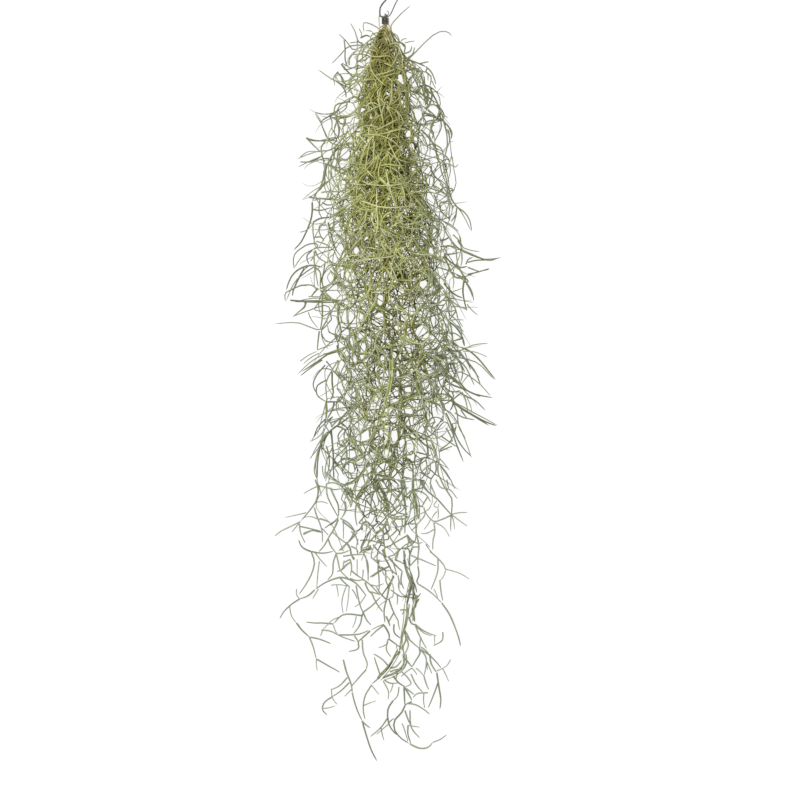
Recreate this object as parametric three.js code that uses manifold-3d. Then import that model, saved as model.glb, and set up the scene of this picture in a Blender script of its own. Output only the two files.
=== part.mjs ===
// A tied bunch of Spanish moss laid on a flat surface, in millimetres, +Z up.
// The bunch lies along Y with its tied end at +Y. The origin is on the surface under the middle of it.
// Seven locks of moss leave the tie. Each keeps to its own layer between the surface and the domed
// crown, so that the locks lie through one another in plan and never touch. Inside a layer, strands
// of short internodes wander down the bunch and carry thread leaves at their nodes.
import * as THREE from 'three';
import { mergeVertices } from 'three/addons/utils/BufferGeometryUtils.js';
import Module from 'manifold-3d';

const wasm = await Module();
wasm.setup();

// ---- Driving dimensions ----
const TIE_LOW_Y = 348.5; // lower end of the binding, where the stems fan out
const TIE_HIGH_Y = 356; // upper end of the binding
const NECK_X = -2.2; // axis of the tied neck
const NECK_Z = 6;
const NECK_RING_RADIUS = 1.96; // six stems and two loop legs stand round the middle stem
const NECK_STEM_RADIUS = 0.55;
const MIDDLE_STEM_RADIUS = 1.0;
const FORK_DEPTH = 14; // depths are measured down the bunch from the foot of the binding

const STEM_CUT_PAST_TIE = 0.8; // how far the shortest stem end stands out above the binding
const STEM_CUT_STEP = 0.35;
const MIDDLE_STEM_CUT_PAST_TIE = 3.6;

const LOOP_WIRE_RADIUS = 0.65;
const LOOP_STEPS = 40;
const BINDING_WIRE_RADIUS = 0.45;
const BINDING_TURNS = 5; // whole turns, so that it starts and ends on top of the neck
const BINDING_STEPS_PER_TURN = 12;
const BINDING_CLEARANCE = 0.35;

const LOCKS = 7;
const LAYER_GAP = 0.3; // kept between the shoots of two locks
const THINNEST_LAYER = 2.2;
const SEAT_DEPTH = 0.09; // what lies lower than this is flat on the surface
const EDGE_REACH = 8; // how far the dome's edge lies outside the outermost column
const NECK_SPREAD = 24; // how far to each side of the neck the layers are lifted by it
const SWELL = { share: 0.55, alongPace: 31, acrossPace: 26 }; // slow waves of the inner layers

const STRANDS_PER_LOCK = 5;
const STRAND_ATTEMPTS = 24;
const SHORTEST_STRAND = 225; // the depth that a lock's shortest strand reaches
const LONGEST_STRAND = 520;
const STEM_RADIUS = 0.75;
const TRAIL_RADIUS = 0.65;
const STRAND_TIP_RADIUS = 0.5;
const INTERNODE = { least: 25, most: 34 };
const CROWDED_DEPTH = 60; // internodes are shorter above this
const CROWDED_INTERNODE = 0.7;
const ZIGZAG = { least: 0.12, most: 0.55 };
const TURN_ABOUT = 0.8; // share of nodes where the strand turns to its other side
const COLUMN_SWING = { least: 0.08, most: 0.22 };
const COLUMN_PACE = { least: 30, most: 60 };
const NODE_COLLAR = 1.3; // length of the swollen node that leaves grow out of

const LEAF_RADIUS = 0.45;
const LEAF_LENGTH = { least: 24, most: 40 };
const LEAF_SPREAD = { least: 0.45, most: 1.15 };
const LEAF_CURL = { least: -0.5, most: 1.3 };
const LEAF_ATTEMPTS = 5;
const OUTER_SIDE_LEAVES = 0.75;
const THRICE_BENT_LEAVES = 0.35;
const LEAF_REACH = 26; // how far past its column a leaf tip may stand
const LOWEST_LEAF_DEPTH = 733;

const PLAN_CLEARANCE = 1.6; // how near two shoots may pass in plan at one height
const ROUTE_ROOTS = 12;
const ROUTE_SHARES = [0, 0.35, 0.7, 1];
const SEED = 20011;

// Half the width of the bunch and the middle of it, down its length.
const PLAN = [
  { depth: 14, half: 4, middle: -2 },
  { depth: 32, half: 27, middle: -3 },
  { depth: 60, half: 38, middle: -4 },
  { depth: 100, half: 49, middle: -4 },
  { depth: 160, half: 59, middle: -3 },
  { depth: 235, half: 69, middle: 1 },
  { depth: 290, half: 62, middle: 4 },
  { depth: 340, half: 66, middle: 12 },
  { depth: 395, half: 62, middle: 8 },
  { depth: 440, half: 56, middle: -6 },
  { depth: 520, half: 54, middle: -8 },
  { depth: 740, half: 40, middle: 4 },
];

// Height of the surface's clearance and of the crown over the middle, down the length.
const PROFILE = [
  { depth: 0, low: 3, high: 9 },
  { depth: 14, low: 2.4, high: 18 },
  { depth: 34, low: 1, high: 27 },
  { depth: 60, low: 0, high: 38 },
  { depth: 110, low: 0, high: 48 },
  { depth: 190, low: 0, high: 53 },
  { depth: 330, low: 0, high: 52 },
  { depth: 420, low: 0, high: 42 },
  { depth: 520, low: 0, high: 30 },
  { depth: 640, low: 0, high: 20 },
  { depth: 740, low: 0, high: 15 },
];

// Where the hanging loop's wire runs, from the top of its left leg round to the top of its right leg.
const LOOP_ROUTE = [
  [-6.2, 358.6], [-7.5, 361.5], [-7.2, 365.5], [-5.2, 369.3], [-2, 373], [1.2, 377], [4, 381.4],
  [7.4, 385], [11, 384.8], [12.7, 381.4], [11.6, 376.6], [8.6, 371], [6.8, 366.6], [4.6, 361.6],
  [2.2, 358.4],
];

// The free end of the binding wire, curled over the cut stems.
const BINDING_CURL = [
  [-1.1, 356.5, 9.7], [0.5, 358.2, 9.2], [1.1, 360.2, 8.9], [0.3, 361.9, 8.8], [-1.1, 361.7, 8.8],
];

// Long trailing strands below the body of the bunch, each from its root on a strand to its tip.
const TRAILS = [
  [[-61, -28], [-62, -45], [-67, -70], [-72, -94], [-69, -122], [-73, -133], [-88, -151], [-111, -163]],
  [[-88, -151], [-87, -165], [-76, -181], [-52, -183]],
  [[-59, -60], [-55, -76], [-55, -94], [-62, -110], [-50, -136], [-49, -146], [-59, -166], [-67, -179]],
  [[-52, -183], [-55, -199], [-61, -211], [-73, -219], [-88, -228], [-99, -236], [-108, -248]],
  [[-12, -100], [0, -139], [-12, -162], [-1, -196], [-7, -225], [-3, -239], [1, -268], [12, -275]],
  [[-7, -225], [-26, -243], [-46, -244], [-55, -253], [-82, -252]],
  [[-3, -239], [-19, -260], [-29, -271], [-20, -295], [-35, -312], [-56, -326], [-65, -335], [-60, -344]],
  [[16, -94], [19, -139], [16, -160], [22, -181], [27, -217], [32, -227], [26, -251], [49, -265]],
  [[16, -160], [22, -208], [17, -254], [13, -276], [18, -288], [5, -305], [-15, -312], [-24, -338]],
  [[13, -276], [0, -297], [9, -311], [24, -329], [8, -352], [23, -375], [36, -378], [45, -374], [60, -365]],
  [[29, -110], [29, -163], [32, -191], [30, -210], [49, -227], [58, -237], [66, -251], [73, -276]],
  [[48, -82], [60, -119], [65, -128], [64, -143], [49, -150], [46, -175], [52, -190], [45, -219]],
  [[26, -251], [33, -276], [43, -283], [51, -303], [53, -331], [49, -342]],
  [[18, -288], [25, -299], [36, -322], [37, -335]],
  [[-35, -312], [-36, -318], [-27, -342], [-19.5, -370], [-11, -386]],
  [[-88, -228], [-96, -242], [-91, -254], [-78, -266], [-73, -286], [-47, -304]],
  [[9, -311], [1, -334], [0, -348], [8, -363]],
];

// Stray leaves and shoots that stand clear of the outline, each from its root to its tip.
const STRAYS = [
  [[-6, 340], [-15, 348], [-24, 350], [-23.5, 340]],
  [[-29, 331], [-33, 342], [-37.5, 350]],
  [[-34, 323], [-41, 331], [-49.5, 339.5]],
  [[-39, 326], [-48, 317], [-56.5, 308.5]],
  [[-44, 288], [-57, 295], [-70.5, 304.5]],
  [[-43, 291], [-50, 300.5], [-54, 297], [-53, 287]],
  [[3, 345], [11, 357], [23.5, 368.5]],
  [[21, 314], [32, 325], [44, 337], [54, 342], [61, 341], [64.5, 337]],
  [[-60, 234], [-67, 250], [-72, 257]],
  [[-52, 235], [-69, 232], [-81, 234.5]],
  [[-66, 221], [-79, 218], [-91, 213]],
  [[-66, 216], [-78, 211], [-90, 205]],
  [[36, 260], [50, 255], [60, 248], [64.5, 236]],
  [[52, 210], [62, 208], [68, 205], [71, 208]],
  [[69, 166], [77, 155], [83.5, 141.5]],
  [[71, 124], [84, 117], [97, 113], [115, 114.5]],
  [[76, 95], [90, 100], [102.5, 102.5]],
  [[80, 88], [85, 79], [86.5, 70]],
  [[-70, 126], [-84, 118], [-94.5, 103.5]],
  [[-72, 107], [-92, 92], [-102.5, 70.5]],
  [[-52, 70], [-70, 74], [-90.5, 71]],
  [[-60, 66], [-80, 61], [-94.5, 55.5]],
  [[-67, 42], [-90, 49], [-114, 48]],
  [[-53, 21], [-74, 12], [-91, -3.5]],
  [[72, 21], [87, 27], [101.5, 28.5]],
  [[70, 15], [90, 9], [107.5, -8.5]],
  [[71, 0], [90, -10], [104.5, -25.5]],
  [[62, -29], [88, -42], [111.5, -54.5]],
  [[64, -42], [76, -64], [84.5, -87.5]],
  [[58, -50], [69, -72], [75.5, -90]],
  [[-55, -45], [-68, -57], [-77.5, -71]],
  [[-62, -62], [-71, -75], [-77.5, -88]],
  [[64, -143], [72, -144], [80, -141.5]],
  [[-72, -178], [-77, -192], [-80, -208]],
  [[-36, -318], [-41, -305], [-44, -285]],
  [[-78, -266], [-68, -271], [-56, -274]],
  [[-73, -286], [-79, -291], [-84, -299]],
];

// ---- Draws from a seed, and readings of the tables above ----

/** A repeatable source of numbers from 0 to 1. */
function seededDraws(seed) {
  let state = seed;
  return () => {
    state = (state * 48271) % 2147483647;
    return state / 2147483647;
  };
}

function between(draw, range) {
  return range.least + (range.most - range.least) * draw();
}

/** Reads one column of a table at a depth, in straight lines between its rows. */
function readTable(table, depth, column) {
  const after = table.findIndex((row) => row.depth > depth);
  if (after === 0) return table[0][column];
  if (after < 0) return table[table.length - 1][column];
  const upper = table[after - 1];
  const lower = table[after];
  const part = (depth - upper.depth) / (lower.depth - upper.depth);
  return upper[column] + (lower[column] - upper[column]) * part;
}

/** Thickness from the lowest layer to the crown: a dome across the width, thin at the sides. */
function bunchDepth(x, depth) {
  const middle = readTable(PLAN, depth, 'middle');
  const half = readTable(PLAN, depth, 'half') + EDGE_REACH;
  const across = Math.min(1, Math.abs(x - middle) / half);
  const full = readTable(PROFILE, depth, 'high') - readTable(PROFILE, depth, 'low');
  return Math.max(LOCKS * THINNEST_LAYER, full * (0.5 + 0.5 * Math.cos(Math.PI * across ** 1.3)));
}

/** Height of a level in the stack of layers; level 0 is the bottom and LOCKS is the crown. */
function levelHeight(level, x, depth) {
  const low = readTable(PROFILE, depth, 'low') * Math.exp(-((x / NECK_SPREAD) ** 2));
  const layer = bunchDepth(x, depth) / LOCKS;
  const wave = Math.sin(depth / SWELL.alongPace + x / SWELL.acrossPace);
  const swell = SWELL.share * (layer - THINNEST_LAYER) * wave;
  return low + level * layer + swell * Math.sin((Math.PI * level) / LOCKS);
}

/** Height of a strand's middle line, a share of the way up the room that its layer leaves it. */
function strandHeight(lock, share, x, depth, radius) {
  const margin = LAYER_GAP / 2;
  const floor = lock === 0 ? radius / 2 : levelHeight(lock, x, depth) + radius + margin;
  const ceiling = levelHeight(lock + 1, x, depth) - radius - margin;
  return floor + share * Math.max(0, ceiling - floor);
}

// ---- Growth: each strand is a list of nodes with a place in plan, a depth and a share ----

/** The place in plan that a strand's column has at a depth. */
function columnX(column, depth) {
  const half = readTable(PLAN, depth, 'half');
  const wander = column.swing * Math.sin(depth / column.pace + column.phase);
  return readTable(PLAN, depth, 'middle') + half * Math.max(-1, Math.min(1, column.side + wander));
}

/** Grows a strand down its column: internodes that turn a little to each side by turns. */
function growStrand(draw, start, column) {
  const nodes = [start];
  let turn = draw() < 0.5 ? -1 : 1;
  let last = start;
  while (last.depth < column.lastDepth) {
    const length = between(draw, INTERNODE) * (last.depth < CROWDED_DEPTH ? CROWDED_INTERNODE : 1);
    const aim = Math.atan2(columnX(column, last.depth + length) - last.x, length);
    const heading = aim + turn * between(draw, ZIGZAG);
    last = {
      x: last.x + length * Math.sin(heading),
      depth: last.depth + length * Math.cos(heading),
      share: column.share,
      heading,
      turn,
    };
    nodes.push(last);
    turn = draw() < TURN_ABOUT ? -turn : turn;
  }
  return nodes;
}

/** A leaf at a node: it leaves the strand on its outer side and curls along its length. */
function growLeaf(draw, node) {
  const bends = draw() < THRICE_BENT_LEAVES ? 3 : 2;
  const side = draw() < OUTER_SIDE_LEAVES ? node.turn : -node.turn;
  const length = between(draw, LEAF_LENGTH);
  const curl = (side * between(draw, LEAF_CURL)) / bends;
  const lift = draw() - 0.5;
  let heading = node.heading + side * between(draw, LEAF_SPREAD);
  let last = node;
  const nodes = [last];
  for (let step = 1; step <= bends; step += 1) {
    last = {
      x: last.x + (length / bends) * Math.sin(heading),
      depth: last.depth + (length / bends) * Math.cos(heading),
      share: Math.max(0, Math.min(1, node.share + (lift * step) / bends)),
    };
    nodes.push(last);
    heading += curl;
  }
  return nodes;
}

/** Turns a hand-placed route into nodes that start at a root. */
function routeNodes(route, root, share) {
  const nodes = [root];
  for (const [x, y] of route) {
    const last = nodes[nodes.length - 1];
    const depth = TIE_LOW_Y - y;
    const heading = Math.atan2(x - last.x, depth - last.depth);
    nodes.push({ x, depth, share, heading, turn: nodes.length % 2 ? 1 : -1 });
  }
  return nodes;
}

/** A strand or leaf of a lock, with a point in space and a radius at each of its nodes. */
function shoot(lock, nodes, rootRadius, tipRadius) {
  const last = nodes.length - 1;
  const radii = nodes.map((_, index) => rootRadius + ((tipRadius - rootRadius) * index) / last);
  const points = nodes.map(({ x, depth, share }, index) => {
    const z = strandHeight(lock, share, x, depth, Math.max(radii[index], LEAF_RADIUS));
    return new THREE.Vector3(x, TIE_LOW_Y - depth, z);
  });
  return { lock, nodes, points, radii, leaves: [] };
}

/**
 * Whether two straight pieces cross in plan, or nearly do, with less than a gap between their
 * heights. A piece is not held to cross what it grows from at its root.
 */
function crosses([a, b], [c, d], gap, sameLock) {
  const ab = { x: b.x - a.x, y: b.y - a.y };
  const cd = { x: d.x - c.x, y: d.y - c.y };
  const spread = ab.x * cd.y - ab.y * cd.x;
  if (spread === 0) return false;
  const alongAb = ((c.x - a.x) * cd.y - (c.y - a.y) * cd.x) / spread;
  const alongCd = ((c.x - a.x) * ab.y - (c.y - a.y) * ab.x) / spread;
  const slackAb = PLAN_CLEARANCE / Math.hypot(ab.x, ab.y);
  const slackCd = PLAN_CLEARANCE / Math.hypot(cd.x, cd.y);
  if (alongAb < (sameLock ? 0.04 : -slackAb) || alongAb > 1 + slackAb) return false;
  if (alongCd < -slackCd || alongCd > 1 + slackCd) return false;
  return Math.abs(a.z + (b.z - a.z) * alongAb - c.z - (d.z - c.z) * alongCd) < gap;
}

/** Counts where a shoot would cut into the shoots of its own lock and of the others. */
function clashes(candidate, shoots) {
  const count = { own: 0, others: 0 };
  for (const shootThere of shoots) {
    const sameLock = shootThere.lock === candidate.lock;
    for (let here = 1; here < candidate.points.length; here += 1) {
      const piece = candidate.points.slice(here - 1, here + 1);
      for (let there = 1; there < shootThere.points.length; there += 1) {
        const gap = candidate.radii[here - 1] + shootThere.radii[there - 1] + LAYER_GAP / 2;
        const pieceThere = shootThere.points.slice(there - 1, there + 1);
        if (crosses(piece, pieceThere, gap, sameLock)) count[sameLock ? 'own' : 'others'] += 1;
      }
    }
  }
  return count;
}

/** Grows strands in one column of a lock and keeps the one that meets the fewest others. */
function bestStrand(draw, lock, strand, shoots) {
  const fork = { x: NECK_X, depth: FORK_DEPTH, share: 0.5, heading: 0, turn: 1 };
  const rank = ((strand * 5 + lock * 3) % 7) / 6;
  let best = null;
  for (let attempt = 0; attempt < STRAND_ATTEMPTS; attempt += 1) {
    const column = {
      side: -1 + (2 * (strand + 0.15 + 0.7 * draw())) / STRANDS_PER_LOCK,
      swing: between(draw, COLUMN_SWING),
      pace: between(draw, COLUMN_PACE),
      phase: 2 * Math.PI * draw(),
      share: lock === 0 && strand % 2 === 0 ? 0 : draw(),
      lastDepth: SHORTEST_STRAND + (LONGEST_STRAND - SHORTEST_STRAND) * rank ** 1.3,
    };
    const candidate = shoot(lock, growStrand(draw, fork, column), STEM_RADIUS, STRAND_TIP_RADIUS);
    const { own, others } = clashes(candidate, shoots);
    const cost = own + 100 * others;
    if (best === null || cost < best.cost) best = { candidate, cost };
  }
  return best.candidate;
}

/** Lays a hand-placed route in the layer of the lock nearest to its root that leaves it clear. */
function layRoute(route, stems, others, rootRadius, tipRadius) {
  const [rootX, rootY] = route[0];
  const away = (node) => Math.hypot(node.x - rootX, node.depth - (TIE_LOW_Y - rootY));
  const roots = [];
  for (const stem of stems) {
    stem.nodes.slice(1).forEach((node, index) => {
      roots.push({ stem, at: index + 1, distance: away(node) });
    });
  }
  roots.sort((one, other) => one.distance - other.distance);
  let best = null;
  for (const { stem, at, distance } of roots.slice(0, ROUTE_ROOTS)) {
    for (const share of ROUTE_SHARES) {
      const nodes = routeNodes(route, stem.nodes[at], share);
      const candidate = { ...shoot(stem.lock, nodes, rootRadius, tipRadius), stem, at };
      const met = clashes(candidate, [...stems, ...others]);
      const cost = met.own + 100 * met.others + distance / 4;
      if (best === null || cost < best.cost) best = { candidate, cost };
    }
  }
  return best.candidate;
}

/** Whether a leaf stays inside the outline that the stray leaves give the bunch. */
function insideOutline({ nodes }) {
  const tip = nodes[nodes.length - 1];
  const reach = Math.abs(tip.x - readTable(PLAN, tip.depth, 'middle'));
  return reach < readTable(PLAN, tip.depth, 'half') + LEAF_REACH && tip.depth < LOWEST_LEAF_DEPTH;
}

/** Grows leaves at one node of a stem, each clear of everything that has grown before. */
function growLeaves(draw, stem, at, grown) {
  const isLast = at === stem.nodes.length - 1;
  const wanted = isLast ? 2 : 1;
  for (let attempt = 0; attempt < LEAF_ATTEMPTS && stem.leaves[at].length < wanted; attempt += 1) {
    const leaf = shoot(stem.lock, growLeaf(draw, stem.nodes[at]), LEAF_RADIUS, 0);
    const { own, others } = clashes(leaf, grown);
    if (own + others === 0 && insideOutline(leaf)) {
      stem.leaves[at].push(leaf);
      grown.push(leaf);
    }
  }
}

/** Grows the bunch: strands in their columns, then trails, strays and the leaves at each node. */
function growBunch() {
  const draw = seededDraws(SEED);
  const stems = [];
  for (let strand = 0; strand < STRANDS_PER_LOCK; strand += 1) {
    for (let lock = 0; lock < LOCKS; lock += 1) stems.push(bestStrand(draw, lock, strand, stems));
  }
  for (const route of TRAILS) stems.push(layRoute(route, stems, [], TRAIL_RADIUS, STRAND_TIP_RADIUS));
  for (const stem of stems) stem.leaves = stem.nodes.map(() => []);
  const strays = [];
  for (const route of STRAYS) {
    const stray = layRoute(route, stems, strays, LEAF_RADIUS, 0);
    strays.push(stray);
    stray.stem.leaves[stray.at].push(stray);
  }
  const grown = [...stems, ...strays];
  for (const stem of stems) {
    for (let at = 1; at < stem.nodes.length; at += 1) growLeaves(draw, stem, at, grown);
  }
  return stems;
}

// ---- Solids ----

/** A closed mesh in the making: rings of corners, the bands between them and the caps on them. */
class ClosedMesh {
  positions = [];

  triangles = [];

  corner(point) {
    this.positions.push(point.x, point.y, point.z);
    return this.positions.length / 3 - 1;
  }

  cornerPoint(index) {
    return new THREE.Vector3().fromArray(this.positions, 3 * index);
  }

  centre(ring) {
    const sum = new THREE.Vector3();
    for (const index of ring) sum.add(this.cornerPoint(index));
    return sum.divideScalar(ring.length);
  }

  /** Corners round a centre, square to a direction, the first of them toward another. */
  ring(centre, along, toward, radius, sides) {
    const first = toward.clone().projectOnPlane(along).normalize();
    const second = new THREE.Vector3().crossVectors(along, first);
    const corners = [];
    for (let side = 0; side < sides; side += 1) {
      const angle = (2 * Math.PI * side) / sides;
      const point = centre.clone().addScaledVector(first, radius * Math.cos(angle));
      corners.push(this.corner(point.addScaledVector(second, radius * Math.sin(angle))));
    }
    return corners;
  }

  /** The facets between two rings, two to each side. */
  static facets(near, far) {
    return near.flatMap((corner, side) => {
      const next = (side + 1) % near.length;
      return [[corner, near[next], far[side]], [near[next], far[next], far[side]]];
    });
  }

  band(near, far) {
    for (const facet of ClosedMesh.facets(near, far)) this.triangles.push(...facet);
  }

  rootCap(ring) {
    for (let side = 1; side < ring.length - 1; side += 1) {
      this.triangles.push(ring[0], ring[side + 1], ring[side]);
    }
  }

  tipCap(ring) {
    for (let side = 1; side < ring.length - 1; side += 1) {
      this.triangles.push(ring[0], ring[side], ring[side + 1]);
    }
  }

  point(ring, tip) {
    const top = this.corner(tip);
    ring.forEach((corner, side) => this.triangles.push(corner, ring[(side + 1) % ring.length], top));
  }

  geometry() {
    const geometry = new THREE.BufferGeometry();
    geometry.setAttribute('position', new THREE.Float32BufferAttribute(this.positions, 3));
    geometry.setIndex(this.triangles);
    return geometry;
  }
}

const UP = new THREE.Vector3(0, 0, 1);

/** Which way a line of points runs at one of them. */
function directionAt(points, index) {
  const before = points[Math.max(0, index - 1)];
  const after = points[Math.min(points.length - 1, index + 1)];
  return new THREE.Vector3().subVectors(after, before).normalize();
}

/** A tube along a line of points, with a radius at each. */
function tube(points, radii, sides) {
  const mesh = new ClosedMesh();
  const rings = points.map((point, index) => {
    return mesh.ring(point, directionAt(points, index), UP, radii[index], sides);
  });
  mesh.rootCap(rings[0]);
  for (let index = 1; index < rings.length; index += 1) mesh.band(rings[index - 1], rings[index]);
  mesh.tipCap(rings[rings.length - 1]);
  return mesh.geometry();
}

/** Draws a leaf out of one facet of the mesh, down to its point. */
function leafFromFacet(mesh, facet, { points, radii }) {
  const line = [mesh.centre(facet), ...points.slice(1)];
  let ring = facet;
  for (let index = 1; index < line.length - 1; index += 1) {
    const toward = mesh.cornerPoint(ring[0]).sub(mesh.centre(ring));
    const next = mesh.ring(line[index], directionAt(line, index), toward, radii[index], 3);
    mesh.band(ring, next);
    ring = next;
  }
  mesh.point(ring, line[line.length - 1]);
}

/** A strand with its leaves: two rings at each node, and leaves out of the facets between them. */
function strandWithLeaves({ points, radii, leaves }) {
  const mesh = new ClosedMesh();
  let last = mesh.ring(points[0], directionAt(points, 0), UP, radii[0], 3);
  mesh.rootCap(last);
  for (let index = 1; index < points.length; index += 1) {
    const along = directionAt(points, index);
    const step = along.clone().multiplyScalar(NODE_COLLAR / 2);
    const near = mesh.ring(points[index].clone().sub(step), along, UP, radii[index], 3);
    const far = mesh.ring(points[index].clone().add(step), along, UP, radii[index], 3);
    mesh.band(last, near);
    const facets = ClosedMesh.facets(near, far);
    const across = new THREE.Vector3().crossVectors(along, UP);
    for (const leaf of leaves[index]) {
      const way = new THREE.Vector3().subVectors(leaf.points[1], points[index]);
      const slots = way.dot(across) > 0 ? [0, 1] : [4, 5];
      const slot = slots.find((number) => facets[number] !== null);
      if (slot === undefined) continue;
      leafFromFacet(mesh, facets[slot], leaf);
      facets[slot] = null;
    }
    for (const facet of facets) mesh.triangles.push(...(facet ?? []));
    last = far;
  }
  mesh.tipCap(last);
  return mesh.geometry();
}

/** A geometry with only its corners' places left, and those that coincide made one. */
function closedGeometry(geometry) {
  geometry.deleteAttribute('normal');
  geometry.deleteAttribute('uv');
  return mergeVertices(geometry);
}

function solidFrom(geometry) {
  const vertProperties = new Float32Array(geometry.getAttribute('position').array);
  const triVerts = new Uint32Array(geometry.getIndex().array);
  return new wasm.Manifold(new wasm.Mesh({ numProp: 3, vertProperties, triVerts }));
}

function geometryFrom(solid) {
  const { vertProperties, triVerts } = solid.getMesh();
  const geometry = new THREE.BufferGeometry();
  geometry.setAttribute('position', new THREE.BufferAttribute(vertProperties, 3));
  geometry.setIndex(new THREE.BufferAttribute(triVerts, 1));
  return geometry;
}

/** Fuses solids into one body; a scrap that touches nothing is dropped and a sealed hollow filled. */
function fuse(geometries) {
  let whole = solidFrom(geometries[0]);
  for (const geometry of geometries.slice(1)) whole = whole.add(solidFrom(geometry));
  const bodies = whole.simplify(0.01).decompose();
  bodies.sort((one, other) => other.volume() - one.volume());
  return bodies[0];
}

/** Where a lock's stem stands in the neck: lock 0 lowest, the middle lock on the axis. */
function neckPlace(lock) {
  if (lock === (LOCKS - 1) / 2) return { x: NECK_X, z: NECK_Z, radius: MIDDLE_STEM_RADIUS };
  const angle = [-90, -135, -45, 0, 45, 135, 90][lock] * (Math.PI / 180);
  const x = NECK_X + NECK_RING_RADIUS * Math.cos(angle);
  return { x, z: NECK_Z + NECK_RING_RADIUS * Math.sin(angle), radius: NECK_STEM_RADIUS };
}

/** The stem of a lock through the tie, cut off a little above it, and on to the lock's fork. */
function neckStem(lock) {
  const { x, z, radius } = neckPlace(lock);
  const ringCut = STEM_CUT_PAST_TIE + STEM_CUT_STEP * ((lock * 3) % LOCKS);
  const cutY = TIE_HIGH_Y + (radius === MIDDLE_STEM_RADIUS ? MIDDLE_STEM_CUT_PAST_TIE : ringCut);
  const forkZ = strandHeight(lock, 0.5, NECK_X, FORK_DEPTH, STEM_RADIUS);
  const forkY = TIE_LOW_Y - FORK_DEPTH;
  const fork = new THREE.Vector3(NECK_X, forkY, forkZ);
  const foot = new THREE.Vector3(x, TIE_LOW_Y - 1, z);
  const beyond = fork.clone().add(new THREE.Vector3(0, -2, 0));
  return tube([new THREE.Vector3(x, cutY, z), foot, fork, beyond], [radius, radius, 0.8, 0.6], 6);
}

/** Seats a geometry on the surface: corners within a hair of it come to lie on it. */
function seatOnSurface(geometry) {
  const corners = geometry.getAttribute('position');
  for (let index = 0; index < corners.count; index += 1) {
    if (corners.getZ(index) < SEAT_DEPTH) corners.setZ(index, 0);
  }
  return geometry;
}

/** A lock: its neck stem and strands in one body, and the lowest one seated on the surface. */
function mossLock(lock, stems) {
  const strands = stems.filter((stem) => stem.lock === lock).map(strandWithLeaves);
  const geometry = geometryFrom(fuse([neckStem(lock), ...strands]));
  return lock === 0 ? seatOnSurface(geometry) : geometry;
}

/** A round wire bent along a curve, with an even number of sides. */
function wire(curve, radius, sides, steps) {
  const circle = new THREE.Path().absarc(0, 0, radius, 0, 2 * Math.PI);
  const section = new THREE.Shape(circle.getPoints(sides / 2));
  const geometry = new THREE.ExtrudeGeometry(section, { steps, extrudePath: curve, bevelEnabled: false });
  return geometryFrom(solidFrom(closedGeometry(geometry)));
}

/** The loop: a leg in the binding, round the route and back to the other leg. */
function hangingLoop() {
  const leg = (side, y) => new THREE.Vector3(NECK_X + side * NECK_RING_RADIUS, y, NECK_Z);
  const route = LOOP_ROUTE.map(([x, y]) => new THREE.Vector3(x, y, NECK_Z));
  const heights = [TIE_LOW_Y, TIE_HIGH_Y - 2, TIE_HIGH_Y];
  const left = heights.map((y) => leg(-1, y));
  const right = heights.map((y) => leg(1, y)).reverse();
  const corners = [...left, ...route, ...right];
  const curve = new THREE.CatmullRomCurve3(corners, false, 'centripetal');
  return wire(curve, LOOP_WIRE_RADIUS, 8, LOOP_STEPS);
}

/** The binding: turns round the neck, and a free end curled over the cut stems. */
function bindingWire() {
  const bore = NECK_RING_RADIUS + LOOP_WIRE_RADIUS + BINDING_CLEARANCE;
  const radius = bore + BINDING_WIRE_RADIUS;
  const steps = BINDING_TURNS * BINDING_STEPS_PER_TURN;
  const rise = TIE_HIGH_Y - TIE_LOW_Y - 2 * BINDING_WIRE_RADIUS;
  const points = [];
  for (let step = 0; step <= steps; step += 1) {
    const angle = (2 * Math.PI * step) / BINDING_STEPS_PER_TURN;
    const y = TIE_LOW_Y + BINDING_WIRE_RADIUS + (rise * step) / steps;
    points.push(new THREE.Vector3(NECK_X + radius * Math.sin(angle), y, NECK_Z + radius * Math.cos(angle)));
  }
  for (const corner of BINDING_CURL) points.push(new THREE.Vector3(...corner));
  const curve = new THREE.CatmullRomCurve3(points, false, 'centripetal');
  return wire(curve, BINDING_WIRE_RADIUS, 6, steps + 8);
}

// ---- The part ----

const OLIVE_MOSS = { color: 0x8e8f50, roughness: 0.75, metalness: 0 };
const GREY_MOSS = { color: 0x878b68, roughness: 0.8, metalness: 0 };
const DARK_WIRE = { color: 0x3a3a34, roughness: 0.45, metalness: 0.8 };

function namedMesh(name, geometry, finish) {
  const mesh = new THREE.Mesh(geometry, new THREE.MeshStandardMaterial({ ...finish, flatShading: true }));
  mesh.name = name;
  return mesh;
}

const bunch = new THREE.Group();
bunch.name = 'spanish_moss_bunch';
const stems = growBunch();
for (let lock = 0; lock < LOCKS; lock += 1) {
  const finish = lock < LOCKS / 2 ? GREY_MOSS : OLIVE_MOSS;
  bunch.add(namedMesh(`moss_lock_${lock + 1}`, mossLock(lock, stems), finish));
}
bunch.add(namedMesh('hanging_loop', hangingLoop(), DARK_WIRE));
bunch.add(namedMesh('binding_wire', bindingWire(), DARK_WIRE));

export default bunch;
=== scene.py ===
"""The looks of a tied bunch of Spanish moss that lies on a pale floor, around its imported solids."""

import sys
import logging
import math
from dataclasses import dataclass, field
from enum import Enum
from typing import Any, NamedTuple, Optional, Sequence, Union

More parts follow.
